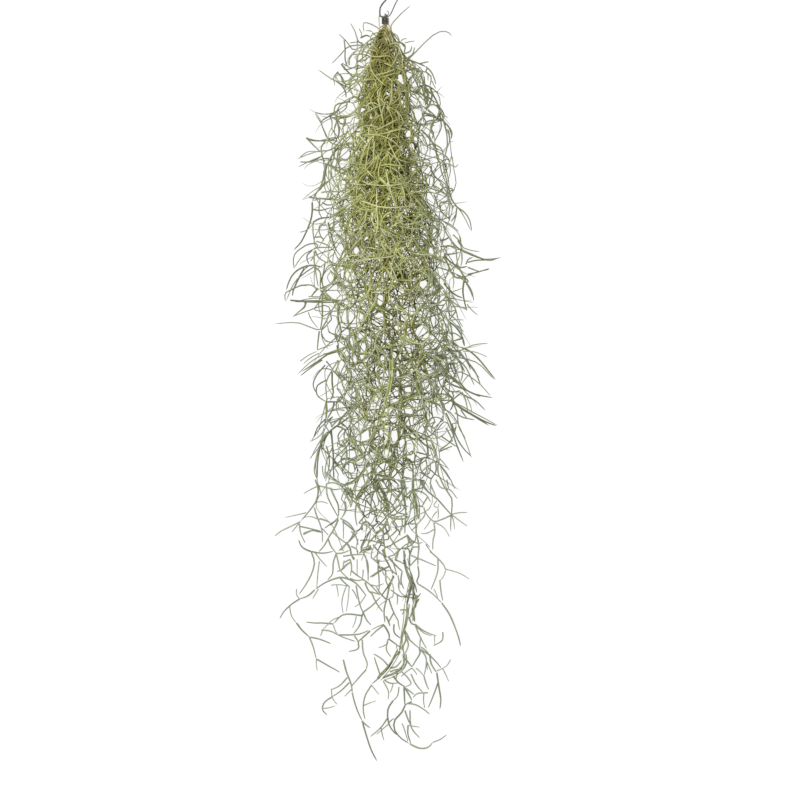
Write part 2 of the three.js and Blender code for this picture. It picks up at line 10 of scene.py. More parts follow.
import bpy
import numpy as np
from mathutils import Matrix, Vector


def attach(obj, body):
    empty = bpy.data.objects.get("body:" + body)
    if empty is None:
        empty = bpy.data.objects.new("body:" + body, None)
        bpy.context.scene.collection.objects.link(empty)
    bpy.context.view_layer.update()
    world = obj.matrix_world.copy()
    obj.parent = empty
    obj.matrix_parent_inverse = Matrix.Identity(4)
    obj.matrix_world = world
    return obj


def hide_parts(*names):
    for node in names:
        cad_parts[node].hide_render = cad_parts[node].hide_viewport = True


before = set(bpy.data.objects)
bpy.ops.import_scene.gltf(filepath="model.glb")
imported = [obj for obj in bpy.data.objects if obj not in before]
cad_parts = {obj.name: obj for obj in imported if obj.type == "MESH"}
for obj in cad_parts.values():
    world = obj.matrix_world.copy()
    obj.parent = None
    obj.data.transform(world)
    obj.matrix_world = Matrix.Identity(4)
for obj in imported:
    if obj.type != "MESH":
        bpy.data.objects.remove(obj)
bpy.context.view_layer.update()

LOG = logging.getLogger("moss_bunch")
MM = 0.001

Array = np.ndarray
Route = np.ndarray
RGB = tuple[float, float, float]


def rows(text: str) -> Array:
    """Reads a table: a comma or a line's end parts its rows, and spaces part their numbers."""
    return np.array([row.split() for row in text.strip().replace("\n", ",").split(",")], float)


def routes(text: str) -> list[Route]:
    """Reads routes that are listed one to a line, with a comma between two points."""
    return [rows(line) for line in text.strip().splitlines()]


# ---- Sizes that the solids are drawn from, in millimetres ----

TIE_LOW_Y = 348.5
TIE_HIGH_Y = 356.0
NECK_X = -2.2
NECK_Z = 6.0
NECK_RING_RADIUS = 1.96
NECK_STEM_RADIUS = 0.55
MIDDLE_STEM_RADIUS = 1.0
FORK_DEPTH = 14.0
STEM_CUT_PAST_TIE = 0.8
STEM_CUT_STEP = 0.35
MIDDLE_STEM_CUT_PAST_TIE = 3.6
LOOP_WIRE_RADIUS = 0.65
BINDING_WIRE_RADIUS = 0.45
BINDING_TURNS = 5
BINDING_STEPS_PER_TURN = 12
BINDING_CLEARANCE = 0.35
LOCKS = 7
LAYER_GAP = 0.3
THINNEST_LAYER = 2.2
EDGE_REACH = 8.0
DOME_POWER = 1.3
NECK_SPREAD = 24.0
SWELL_SHARE = 0.55
SWELL_ALONG_PACE = 31.0
SWELL_ACROSS_PACE = 26.0
STRANDS_PER_LOCK = 5
STRAND_ATTEMPTS = 24
SHORTEST_STRAND = 225.0
LONGEST_STRAND = 520.0
SHORT_STRANDS_POWER = 1.3
OTHER_LOCK_COST = 100
ROUTE_DISTANCE_COST = 0.25
STEM_RADIUS = 0.75
TRAIL_RADIUS = 0.65
STRAND_TIP_RADIUS = 0.5
CROWDED_DEPTH = 60.0
CROWDED_INTERNODE = 0.7
TURN_ABOUT = 0.8
LEAF_RADIUS = 0.45
LEAF_ATTEMPTS = 5
OUTER_SIDE_LEAVES = 0.75
THRICE_BENT_LEAVES = 0.35
LEAF_REACH = 26.0
LOWEST_LEAF_DEPTH = 733.0
PLAN_CLEARANCE = 1.6
ROOT_SHARE = 0.04
ROUTE_ROOTS = 12
ROUTE_SHARES = (0.0, 0.35, 0.7, 1.0)
SEED = 20011

# Depth down the bunch, half the width there and the middle of it.
PLAN = rows("""
14 4 -2, 32 27 -3, 60 38 -4, 100 49 -4, 160 59 -3, 235 69 1
290 62 4, 340 66 12, 395 62 8, 440 56 -6, 520 54 -8, 740 40 4
""")

# Depth down the bunch, the clearance below it and the height of its crown.
PROFILE = rows("""
0 3 9, 14 2.4 18, 34 1 27, 60 0 38, 110 0 48, 190 0 53
330 0 52, 420 0 42, 520 0 30, 640 0 20, 740 0 15
""")

# Depth below the tie, and how far threads reach to the left, right, below and above the neck.
NECK_SIDES = rows("""
2 4.5 4.5 3 3, 7 7 5.5 4 6, 12 13 7.5 5 10, 17 20 11.5 6 15, 22 25 14.5 8 22, 27 31 17 12 30
32 34 21 20 45, 37 40 28 40 90, 42 46 36 90 200, 50 70 55 900 900, 60 140 140 900 900
80 900 900 900 900
""")
# How sharply a thread that reaches further is drawn in.
GATHER_POWER = 4

# Where the loop's wire runs, from its left leg round to its right one, and the end of the binding.
LOOP_ROUTE = rows("""
-7.2 357.3, -7.8 361, -7.3 365.5, -5.2 369.3, -2 373, 1.2 377, 4 381.4, 7.4 385, 11 384.8
12.7 381.4, 11.6 376.6, 8.6 371, 6.4 366.4, 4.2 361.4, 2.1 357.9
""")
BINDING_CURL = rows("-1.1 356.5 9.7, 0.5 358.2 9.2, 1.1 360.2 8.9, 0.3 361.9 8.8, -1.1 361.7 8.8")
# Places along the two wires, from 0 to 1, and their share of the wire's radius there.
LOOP_TAPER = rows("0 1.2, 0.45 1.25, 0.6 0.85, 1 0.8")
BINDING_TAPER = rows("0 1, 0.94 1, 1 0.7")
WIRE_TANGENT_STEP = 0.1

# The trails of the tail, then the stray threads that leave the outline.
TRAILS = routes("""
-61 -28, -62 -45, -67 -70, -72 -94, -69 -122, -73 -133, -88 -151, -111 -163
-88 -151, -87 -165, -76 -181, -52 -183
-59 -60, -55 -76, -55 -94, -62 -110, -50 -136, -49 -146, -59 -166, -67 -179
-52 -183, -55 -199, -61 -211, -73 -219, -88 -228, -99 -236, -108 -248
-12 -100, 0 -139, -12 -162, -1 -196, -7 -225, -3 -239, 1 -268, 12 -275
-7 -225, -26 -243, -46 -244, -55 -253, -82 -252
-3 -239, -19 -260, -29 -271, -20 -295, -35 -312, -56 -326, -65 -335, -60 -344
16 -94, 19 -139, 16 -160, 22 -181, 27 -217, 32 -227, 26 -251, 49 -265
16 -160, 22 -208, 17 -254, 13 -276, 18 -288, 5 -305, -15 -312, -24 -338
13 -276, 0 -297, 9 -311, 24 -329, 8 -352, 23 -375, 36 -378, 45 -374, 60 -365
29 -110, 29 -163, 32 -191, 30 -210, 49 -227, 58 -237, 66 -251, 73 -276
48 -82, 60 -119, 65 -128, 64 -143, 49 -150, 46 -175, 52 -190, 45 -219
26 -251, 33 -276, 43 -283, 51 -303, 53 -331, 49 -342
18 -288, 25 -299, 36 -322, 37 -335
-35 -312, -36 -318, -27 -342, -19.5 -370, -11 -386
-88 -228, -96 -242, -91 -254, -78 -266, -73 -286, -47 -304
9 -311, 1 -334, 0 -348, 8 -363
""")

STRAYS = routes("""
-6 340, -15 348, -24 350, -23.5 340
-29 331, -33 342, -37.5 350
-34 323, -41 331, -49.5 339.5
-39 326, -48 317, -56.5 308.5
-44 288, -57 295, -70.5 304.5
-43 291, -50 300.5, -54 297, -53 287
3 345, 11 357, 23.5 368.5
21 314, 32 325, 44 337, 54 342, 61 341, 64.5 337
-60 234, -67 250, -72 257
-52 235, -69 232, -81 234.5
-66 221, -79 218, -91 213
-66 216, -78 211, -90 205
36 260, 50 255, 60 248, 64.5 236
52 210, 62 208, 68 205, 71 208
69 166, 77 155, 83.5 141.5
71 124, 84 117, 97 113, 115 114.5
76 95, 90 100, 102.5 102.5
80 88, 85 79, 86.5 70
-70 126, -84 118, -94.5 103.5
-72 107, -92 92, -102.5 70.5
-52 70, -70 74, -90.5 71
-60 66, -80 61, -94.5 55.5
-67 42, -90 49, -114 48
-53 21, -74 12, -91 -3.5
72 21, 87 27, 101.5 28.5
70 15, 90 9, 107.5 -8.5
71 0, 90 -10, 104.5 -25.5
62 -29, 88 -42, 111.5 -54.5
64 -42, 76 -64, 84.5 -87.5
58 -50, 69 -72, 75.5 -90
-55 -45, -68 -57, -77.5 -71
-62 -62, -71 -75, -77.5 -88
64 -143, 72 -144, 80 -141.5
-72 -178, -77 -192, -80 -208
-36 -318, -41 -305, -44 -285
-78 -266, -68 -271, -56 -274
-73 -286, -79 -291, -84 -299
""")

# Long arcs that lie over the crown, seen from above, each from its root to its tip.
CROWN_ARCS = routes("""
-17.5 315.5, -9.5 313.5, 0.5 314.5, 5.5 312.5
-3.5 307.5, 2.5 304.5, 6.5 302.5
-17.5 305.5, -13.5 295.5, -6.5 287.5, -0.5 282.5
-12.5 294.5, -2.5 296.5, 4.5 299.5, 8.5 301.5
-4.5 292.5, 4.5 295.5, 9.5 297.5
-32.5 291.5, -25.5 289.5, -15.5 290.5, -9.5 289.5
-1.5 267.5, -4.5 259.5, -6.5 250.5
10.5 250.5, 4.5 246.5, -7.5 240.5, -16.5 237.5
17.5 241.5, 7.5 238.5, -2.5 235.5, -15.5 233.5
-26.5 253.5, -17.5 258.5, -9.5 262.5, -1.5 265.5
-31.5 240.5, -21.5 243.5, -12.5 242.5, -6.5 241.5
-24.5 234.5, -15.5 234.5, -4.5 232.5, 4.5 228.5, 10.5 223.5, 14.5 216.5
-16.5 230.5, -19.5 216.5, -21.5 201.5, -22.5 191.5
-12.5 228.5, -13.5 216.5, -13.5 203.5
0.5 228.5, 7.5 213.5, 11.5 206.5, 15.5 199.5
-25.5 189.5, -19.5 185.5, -9.5 183.5, 4.5 183.5, 15.5 185.5, 22.5 188.5, 23.5 194.5
-7.5 203.5, 0.5 204.5, 8.5 203.5, 18.5 204.5
-1.5 199.5, 0.5 189.5, 3.5 176.5, 7.5 165.5, 11.5 161.5
13.5 185.5, 16.5 176.5, 17.5 165.5
-27.5 169.5, -19.5 166.5, -9.5 162.5, 4.5 161.5, 16.5 162.5, 25.5 163.5
-54.5 164.5, -49.5 169.5, -42.5 175.5, -35.5 180.5, -27.5 185.5
-57.5 153.5, -49.5 159.5, -41.5 165.5, -34.5 169.5
-10.5 181.5, -10.5 161.5, -9.5 143.5, -12.5 131.5
-38.5 109.5, -29.5 108.5, -21.5 110.5, -7.5 111.5, 4.5 113.5, 10.5 116.5
8.5 115.5, 10.5 120.5, 17.5 122.5, 23.5 128.5, 24.5 138.5
-37.5 102.5, -31.5 108.5, -24.5 111.5
-21.5 200.5, -17.5 195.5, -12.5 190.5
22.5 145.5, 32.5 148.5, 43.5 150.5
1.5 109.5, 5.5 99.5, 11.5 86.5
42.5 102.5, 48.5 93.5, 55.5 82.5
-9.5 276.5, -7.5 261.5, -4.5 249.5, -4.5 235.5
-15.5 318.5, -17.5 309.5, -16.5 301.5, -12.5 293.5
3.5 286.5, 4.5 277.5, 3.5 268.5, 1.5 262.5
11.8 82.2, 16.5 80.8, 25.8 80.8
-6.5 129.5, -4.5 123.5, -0.5 117.5, 2.5 113.5
-32.8 92.5, -31.5 84.5, -32.2 74.8
3.8 142.2, 7.8 144.8, 14.5 148.5
-20.2 160.2, -21.2 154.8, -22.2 146.5
""")
ARC_RADIUS = 0.62
# How far the arcs are bowed up and how pale they are, up the bunch from a place and down from it.
# Their paleness is partly painted highlight on the lit crown.
LOWER_ARCS_Y = 202.0
UPPER_ARCS = (5.0, 0.7)
LOWER_ARCS = (7.2, 0.9)
# The shape of their bow, and how far their ends are sunk in the crown.
ARC_BELLY = 0.7
ARC_SINK = 1.5

# ---- Openings and threads that are placed one by one ----
# Their points are in millimetres to the right of the corner of the camera's field and below it.

FIELD_CORNER = (-387.5, 371.5)
PLACED_TAIL_DEPTH = 457.0

# Each opening of the bunch: its middle, half its width and half its height.
OPENINGS = rows("""
403 47 2 4, 394 54 1.5 2, 398 64 1.5 2, 360 57 4 3.6, 366 51 1.5 2, 364 46 1.5 1.5, 366 63 2.2 3
379 46 1.2 1.5, 374 48 1 1, 353.5 61.5 3.2 5, 359 70 2 3.4, 353 79.5 2 2, 358.5 86.5 3.4 3.4
401 79 3.6 7, 409 74.5 2.4 5.5, 414.5 84 4.2 6, 427.5 80 2.8 6, 395 87 2.6 5, 403 98 2.6 6
394.5 97 2.4 4.5, 387.5 94 2 3.4, 387 102 1.6 3.2, 414.8 99 4.2 7.5, 421.8 93 2.2 7.5
350.5 107 3.4 5.5, 363 110.5 3 3.4, 417.5 114 3.4 7, 433 110.5 5 3.5, 355.5 122 3.6 4.8
436 126 4.5 5, 344 129 3 3, 408.5 133.5 3.2 4.8, 441 141 5 10, 368.5 141.5 1.6 3.6
364.8 147 1.4 2.6, 412.5 146 2.8 4, 344.5 152 4.6 6.4, 407 155 2 3.4, 414.5 155 2 3.4, 335 160 2 6
342 163 2.5 3, 407 163 1.5 2, 423 161 3 1.5, 413 169 3 4, 424 169 1.5 3, 428 169 1.5 3
387 170 2 1.5, 440 172 3 3, 347 176 4 3, 396 177 1 2, 372 178 1 2, 432 179 3.5 5, 344 184 3 2.5
430 197 3.5 5, 441 198 6 4, 328 203 4 4, 345 205 2 2, 444 207 3 3, 337 227 3 5, 323 233 3.5 6
435 233 4 4, 426 236 1.8 5, 414 236 1.5 3, 414 247 1.8 5, 356 250 3 5, 340 249 3 3, 331 255 4 4
449 250 4 3.5, 404 256 1.8 2.5, 408 257 1.5 3, 430 250 1.8 4, 428 263 1.8 4, 438 267 4 8
456 272 4.5 3.5, 416 271 2 5, 421 275 3 3.5, 329 277 4 6, 341 275 3 5, 348 275 2.5 6, 353 277 2 5
414 281 2.5 3.5, 423 285 4 4, 454 284 6 4.5, 334 287 7 3, 333 294 7 3.5, 344 297 2 4, 380 299 4 6.5
441 293 2 4, 411 296 2.5 3, 417 299 1.8 3, 433 304 2 4, 443 304 3 5, 329 306 6 4, 396 307 1.8 3
411 311 3 4, 346 304 2.5 3.5, 332 325 6 11, 345 316 3.5 5, 351 316 3 8, 397 316 2.2 5, 378 316 3 4
379 325 3 4, 434 320 3.5 7, 422 313 2 3, 343 327 3.5 4, 396 326 2.2 3.5, 420 330 5.5 6.5
412 331 2.2 4, 345 335 4.5 3.5, 343 345 3.5 4, 353 342 2 5, 361 336 2.5 4, 369 339 2 6, 363 347 5 5
388 341 3 3, 346 355 3 5, 353 356 2 4, 332 359 5 5, 440 352 3 3, 395 354 2 4, 361 357 3 2.5
382 360 2.5 7, 342 366 3 5, 421 368 2.5 4, 375 368 3.5 4, 386 374 2.5 4, 355 374 2.5 4
398 373 3 4.5, 336 379 3 5, 376 384 2.5 4, 383 383 2.5 4, 407 381 5 4, 425 384 4 5, 345 385 2.5 4
409 389 4 3, 397 390 2.8 7, 353 392 4 4.5, 336 392 3.5 5, 370 393 2.2 5, 376 396 2.2 5, 427 397 4 3
394 402 2.5 4, 412 403 2 4, 341 405 6 4, 434 407 3 3, 409 411 4.5 4.5, 335 414 4.5 4.5
343 413 4 3.5, 356 416 2.8 6, 362 413 2.5 5, 434 413 3 3, 393 419 2.8 4.5, 410 422 5.5 4.5
436 425 4 5, 394 436 3.2 8, 420 434 2.8 6, 385 438 3.5 6.5, 377 437 3.5 4.5, 366 436 4 5
341 437 3.5 6.5, 352 434 2.2 5, 402 442 1.8 7, 408 446 4 6, 397 452 2.8 6, 362 447 3.5 2.5
353 455 5 3.5, 373 455 2.8 3, 387 453 3 5, 410 456 3.5 5, 425 463 3.8 5.5, 350 467 5 4.5
336 474 3.5 7, 406 472 3.8 5.5, 430 471 2.8 5, 385 466 4 4, 385 474 4 3, 395 474 3.5 5
345 479 5 5.5, 368 481 2.8 4, 393 484 5 4, 384 486 4 4.5, 413 485 4 4, 433 487 3 6, 336 492 5 4
389 497 6 4, 425 496 5 4, 405 493 3 4, 452 386 6 3.5, 466 372 3.5 6, 468 384 4 3, 449 371 2 4
460 402 5 5, 442 336 1.5 2, 449 337 2.5 2.5, 434.5 99 2 5, 429 117.5 4.5 2.2, 449 92 9 11
352 70.5 1.8 2.2, 346 75.5 3.4 4, 346 87 2.2 3, 355.5 92.5 3 2, 345.5 136 3.4 3, 341.5 106.5 3.4 4
344 113 3.4 2, 342 121 2.4 4, 357 134.5 2 2.5, 421 137 2 3, 427 140 2 3.4, 402 148 1.2 2
403 152 1 2, 328 124 4.5 6, 322 106 10 5.5, 453 178 4 11, 312 167 9 5, 452 154 3.5 7, 475 312 5 5
333 321 3.5 7, 310 178 10 6, 304 313 8 4
""")
# The dark pockets of the crown, in the same form: only the upper locks go round them, and the threads
# in and beside them are darkened as painted shade.
POCKETS = rows("""
381.5 32.8 1.5 1, 387 35 1.2 1.5, 390.5 34 1 1.5, 380.5 37 1.5 1.8, 383 44 1 2, 388.7 44 0.8 2
391.3 49.5 1.2 1.8, 382 51 1.5 1, 386.5 51 0.8 2, 375 54 1.2 2, 379 55.5 1.5 1, 388.8 56 1.2 1.8
392 53 1 1.5, 381 59 1.2 0.8, 385.5 60 1.5 0.8, 391.5 60 1 1, 378.5 63.5 1 1, 388.5 63 1.5 1.5
397 56 1.5 1.2, 377 67 2 2, 382 66.5 2 2.5, 387 67.5 1.5 1.5, 378 72 2 2.5, 393 69 2 1
393.5 73 1.5 1, 371.5 77.5 1.5 1.2, 385 78.5 1.5 1, 394 77.5 1.5 1.2, 381 81 1.5 1, 375 81 1 1
369 86 1 2, 385.5 86 1.5 2, 389 87 1 1.8, 381.5 90.5 1.5 1, 366.5 92 1.5 1.5, 373 93 1 1.2
361.5 97.5 2 1.2, 406.5 111 1.5 3, 382 108 2.5 1, 378 112 1.5 1.5, 380.5 116 1.2 1, 393 112.5 2 1
391.5 119.5 2.4 2.6, 384 121 1 1.5, 378 123 1.5 2, 384 125 2 1.2, 373 125.5 1.2 3, 366.5 122.5 1.5 2
395 126.5 3 1.2, 386.5 130.5 1.5 1.5, 393 131 3 1.5, 403 129.5 1.2 2, 396 134.5 2.5 1, 402 136 1.5 3
388.5 141 1 1.2, 378 143.5 1.5 0.8, 393 146 3 1.8, 399 144 1.5 2, 380 148.5 0.8 2, 383.5 147.5 1 1.2
385 152 1.2 1, 376.5 151 1 1, 405.5 150 1.5 2.5, 417.5 148 1 3, 405 140 1 1.5, 372.5 157 1 3
393.5 165.5 1.5 1.2, 404.5 160.5 1 1.5, 409 166 0.8 4, 402 168 1 1, 372 171 2 1, 381.5 176.5 1 2
394 175 1 1.2, 401.5 174 1 2, 407 175 2 2, 406 180 2 1.5, 366 178 1.4 1.8, 365.5 185 1.5 1
374 182.5 1 1.2, 411 186 1 2, 382 188 2.5 0.8, 369 189 2 1.2, 376.5 194 1 2, 380.5 194 1 1.5
386.5 194 1.2 2, 388 197 1 1, 405.5 193 1 2.5, 407 200 1 3, 377 203 2.5 3, 384 202 2 1.5
391.5 205 2.5 1.8, 399.5 206 1.5 1.5, 408.5 214 1.5 1.2, 386.5 212.5 1.5 1, 393 217.5 1 2
385.5 221.5 2 1, 389 224 1.5 1, 396 222.5 1 2, 406 224.5 1 2, 411.5 218 1 3, 369 227 1.2 3
393 233.5 1 1.8, 397 232 1.5 2.5, 409.5 234 1 2.5, 387.5 236 1 1, 390.5 242 1.5 1.2, 366 241 1.8 2.5
387 228 1.5 1.5, 401 238 2 1.5, 353 218 1.5 2, 415.5 197 1 1.5, 425 180 1.2 6, 366 247 1.2 3
382 250.5 1.2 1.5, 373.5 257 1 1, 384 260.5 1.5 1, 389 261 1.5 1, 367 266 1.5 1.5, 364 271.5 1.2 2
369.5 277.5 1 1, 386 267 1.5 1.5, 377 273 2 3, 373.5 282 1.5 1.5, 361 284 2.5 2.5, 385.5 278 1.5 1.5
398.5 278 2.5 4, 405 277 1.5 1.5, 388 284 2 3, 397 292 1 3, 394.5 302 1 1.5, 385 306 1.5 1.5
355.5 293 1.2 2, 382 324 1.5 1.2, 402 318 1 2.5, 417 323 1.5 2, 406 309 1 1, 371 315 1.5 3
365 324 2 1.5, 369 331 1.5 2, 392 332 2 3, 415 303 1.5 1.5, 409 330 2 2
""")
# The lowest lock that does, and how much painted shade the threads in a pocket get: under it, and
# from it up.
POCKET_FLOOR = 3
FLOOR_SHADE = 1.8
WALL_SHADE = 0.85

# The openings above this place, in the same form, stay clearer than those below it.
CLEAR_OPENINGS = 150
OPENINGS_SEED = 611

# How brown the stems of the middle are at a depth, how fast that fades to the sides, and the share
# of it that leaves have.
BARK = ((-6, 0, 12, 40, 90, 150, 210), (0, 0.9, 0.75, 0.42, 0.2, 0.06, 0))
BARK_FADE = 2
LEAF_BARK = 0.6
# Share of the threads that are old, the stride that picks them out and how brown they are.
OLD_THREADS = 0.13
OLD_THREADS_PACE = 7.3
OLD_BARK = 0.45

# How olive the middle is at a depth, and how fast that fades to either side. This is partly the
# moss's own colour and partly painted light: the glow of the lit middle and the duller edges.
OLIVE = ((-6, 0, 180, 260, 330, 430, 560, 700), (0, 1, 0.98, 0.82, 0.62, 0.42, 0.15, 0.06))
OLIVE_FADE_LEFT = 1.4
OLIVE_FADE_RIGHT = 1.95
# How much more or less olive single threads are, and the draw that changes nothing.
OLIVE_SPREAD = 0.55
OLIVE_LEAN = 0.65

# Painted shade: a thread is darkened from this far under the crown, over this room, and less so
# toward the sides.
INNER_FROM = 6
INNER_ROOM = 24
INNER_SIDE = 1.2

# How much of a given tone is held, and how much is drawn.
TONE_HELD = 0.8
TONE_DRAWN = 0.2
FLOOR_CLEARANCE = 0.05

# Between the first depths, a placed thread goes over from its lock's own level to the tail's. The
# tail's level sinks from the crown, a share of the layers between the second, in slow waves.
TAIL_STARTS = (380, 450)
TAIL_SINKS = ((380, 480), (0.78, 0.4))
TAIL_WAVE = 0.22
TAIL_WAVE_ACROSS = 17.0
TAIL_WAVE_ALONG = 23.0

# Bundles of strands that twist about each other.
BUNDLES = routes("""
399 54, 402 58, 406 63
404 72, 407 86, 408 100, 408 115
424 84, 427 93, 426 104
383 62, 381 80, 382 100, 384 118
362 196, 352 205, 340 213, 327 220
424 269, 430 277, 437 283, 442 286
442 286, 434 292, 425 298
343 266, 352 265, 362 261
352 330, 356 343, 354 358
337 350, 343 356, 350 366
350 366, 358 362, 366 357, 370 350
345 366, 350 376, 346 386, 343 393
360 376, 366 386, 373 396
357 386, 360 400, 364 414, 369 423
391 360, 391 378, 388 394, 385 408, 383 419
402 386, 402 400, 400 414, 401 427
420 354, 424 366, 429 378, 433 391
435 453, 431 443, 421 439, 413 431, 404 425
431 444, 435 456, 436 463
350 440, 357 448, 364 455
364 455, 357 460, 348 462
370 446, 377 453, 376 462, 372 471
342 487, 351 484, 360 477, 366 468, 371 461
356 501, 364 489, 372 479, 375 468
374 468, 374 480, 377 491
376 480, 387 505, 389 514
402 480, 405 501
412 490, 418 521
343 489, 353 502
371 547, 360 551
405 560, 409 574, 415 590, 415 604
411 578, 409 592, 406 605
416 596, 413 611, 414 623
407 605, 405 622, 401 638, 400 652
399 652, 389 668, 378 681
404 655, 404 665, 394 675, 383 679
445 349, 451 352, 457 357
434 380, 437 390, 441 400, 444 409
417 384, 418 391, 416 399
400 338, 408 341, 416 344
402 359, 411 361, 420 360
440 356, 438 366, 436 376
""")
BUNDLE_STRANDS = 5
BUNDLE_SPREAD = 1.9
BUNDLE_RADIUS = 0.46
BUNDLE_TONE = 0.4
BUNDLE_GREENER = 0.25
LOWEST_BUNDLE_LOCK = 2

# The other threads that are laid one by one, at the sides of the bunch and in its tail.
THICK_SIDE = routes("""
300 268, 306 266, 312 265, 323 267
318 288, 314 292, 311 296
290 300, 302 301, 320 302, 337 302
295 301, 315 300, 345 300
322 290, 322 304, 322 318, 320 330
337 345, 337 351, 328 354, 318 361, 301 372
338 350, 343 356, 346 362
338 303, 338 318, 341 332, 337 344
332 372, 332 383, 333 393, 330 401
326 402, 332 402, 338 402
326 401, 327 410, 326 419
334 402, 332 409, 327 419
348 418, 338 425, 328 433, 321 444, 318 456, 317 468, 317 480
331 431, 332 442, 333 454, 333 467, 334 480
352 447, 357 449, 362 453
463 250, 472 254, 481 258, 490 260, 500 257
444 255, 450 261, 460 267, 468 266
444 256, 448 264, 454 276, 460 278, 466 277
458 265, 461 271, 464 277, 465 283
464 281, 463 290, 464 299, 467 311
444 283, 449 289, 456 295, 463 298
450 322, 456 327, 462 336, 465 345
443 323, 443 332, 449 347
448 349, 455 350, 462 352
461 347, 470 351, 479 359, 488 370, 496 380
460 352, 467 361, 475 371, 481 385
446 374, 454 379, 464 387
445 380, 453 385, 464 389, 475 394, 494 398
460 382, 466 390, 481 397
452 399, 459 407, 472 415, 490 426
455 404, 468 412, 484 421, 497 426
447 393, 452 398, 453 405, 450 411
446 413, 451 424, 455 440, 464 463
408 428, 416 436, 425 445, 434 450
341 63, 345 68, 349 72, 354 78
361 37, 366 35, 370 36
336 80, 341 84, 345 90, 346 97
350 100, 343 102, 336 104, 334 110, 336 117
336 117, 338 124, 339 131, 337 137, 325 140
306 137, 312 139, 328 140
350 143, 344 145, 338 151, 337 164
324 170, 323 178, 320 187, 315 194, 312 202
312 202, 312 212, 310 222, 304 236, 300 243, 293 250
313 222, 320 219, 330 217
328 222, 330 230, 333 242, 337 252
340 221, 345 226, 350 231
330 217, 337 214, 343 209, 350 204
334 205, 339 202, 345 198
395 41, 401 42, 405 45, 404 53
404 56, 411 60, 419 63, 426 66
404 63, 412 69, 427 72
402 66, 403 78, 407 92, 409 112
421 72, 423 82, 427 91, 427 99, 425 105
430 86, 432 96, 429 104, 424 109
430 86, 433 94, 437 101, 441 114
424 112, 431 115, 441 120
439 111, 441 118, 447 124, 452 132, 451 139
421 129, 429 137, 436 148, 437 157, 440 163
443 163, 444 170, 448 185
431 165, 433 172, 443 184
425 174, 427 183, 427 192
412 141, 417 146, 419 152
446 181, 449 189, 452 199, 458 207
440 240, 445 239, 450 236
424 240, 428 245, 437 248
409 84, 408 96, 410 106, 414 115, 418 124
406 92, 406 104, 407 116
311 265, 305 266, 297 270, 292 275, 288 283, 286 290
304 268, 300 275, 296 283, 293 290, 292 296
""")

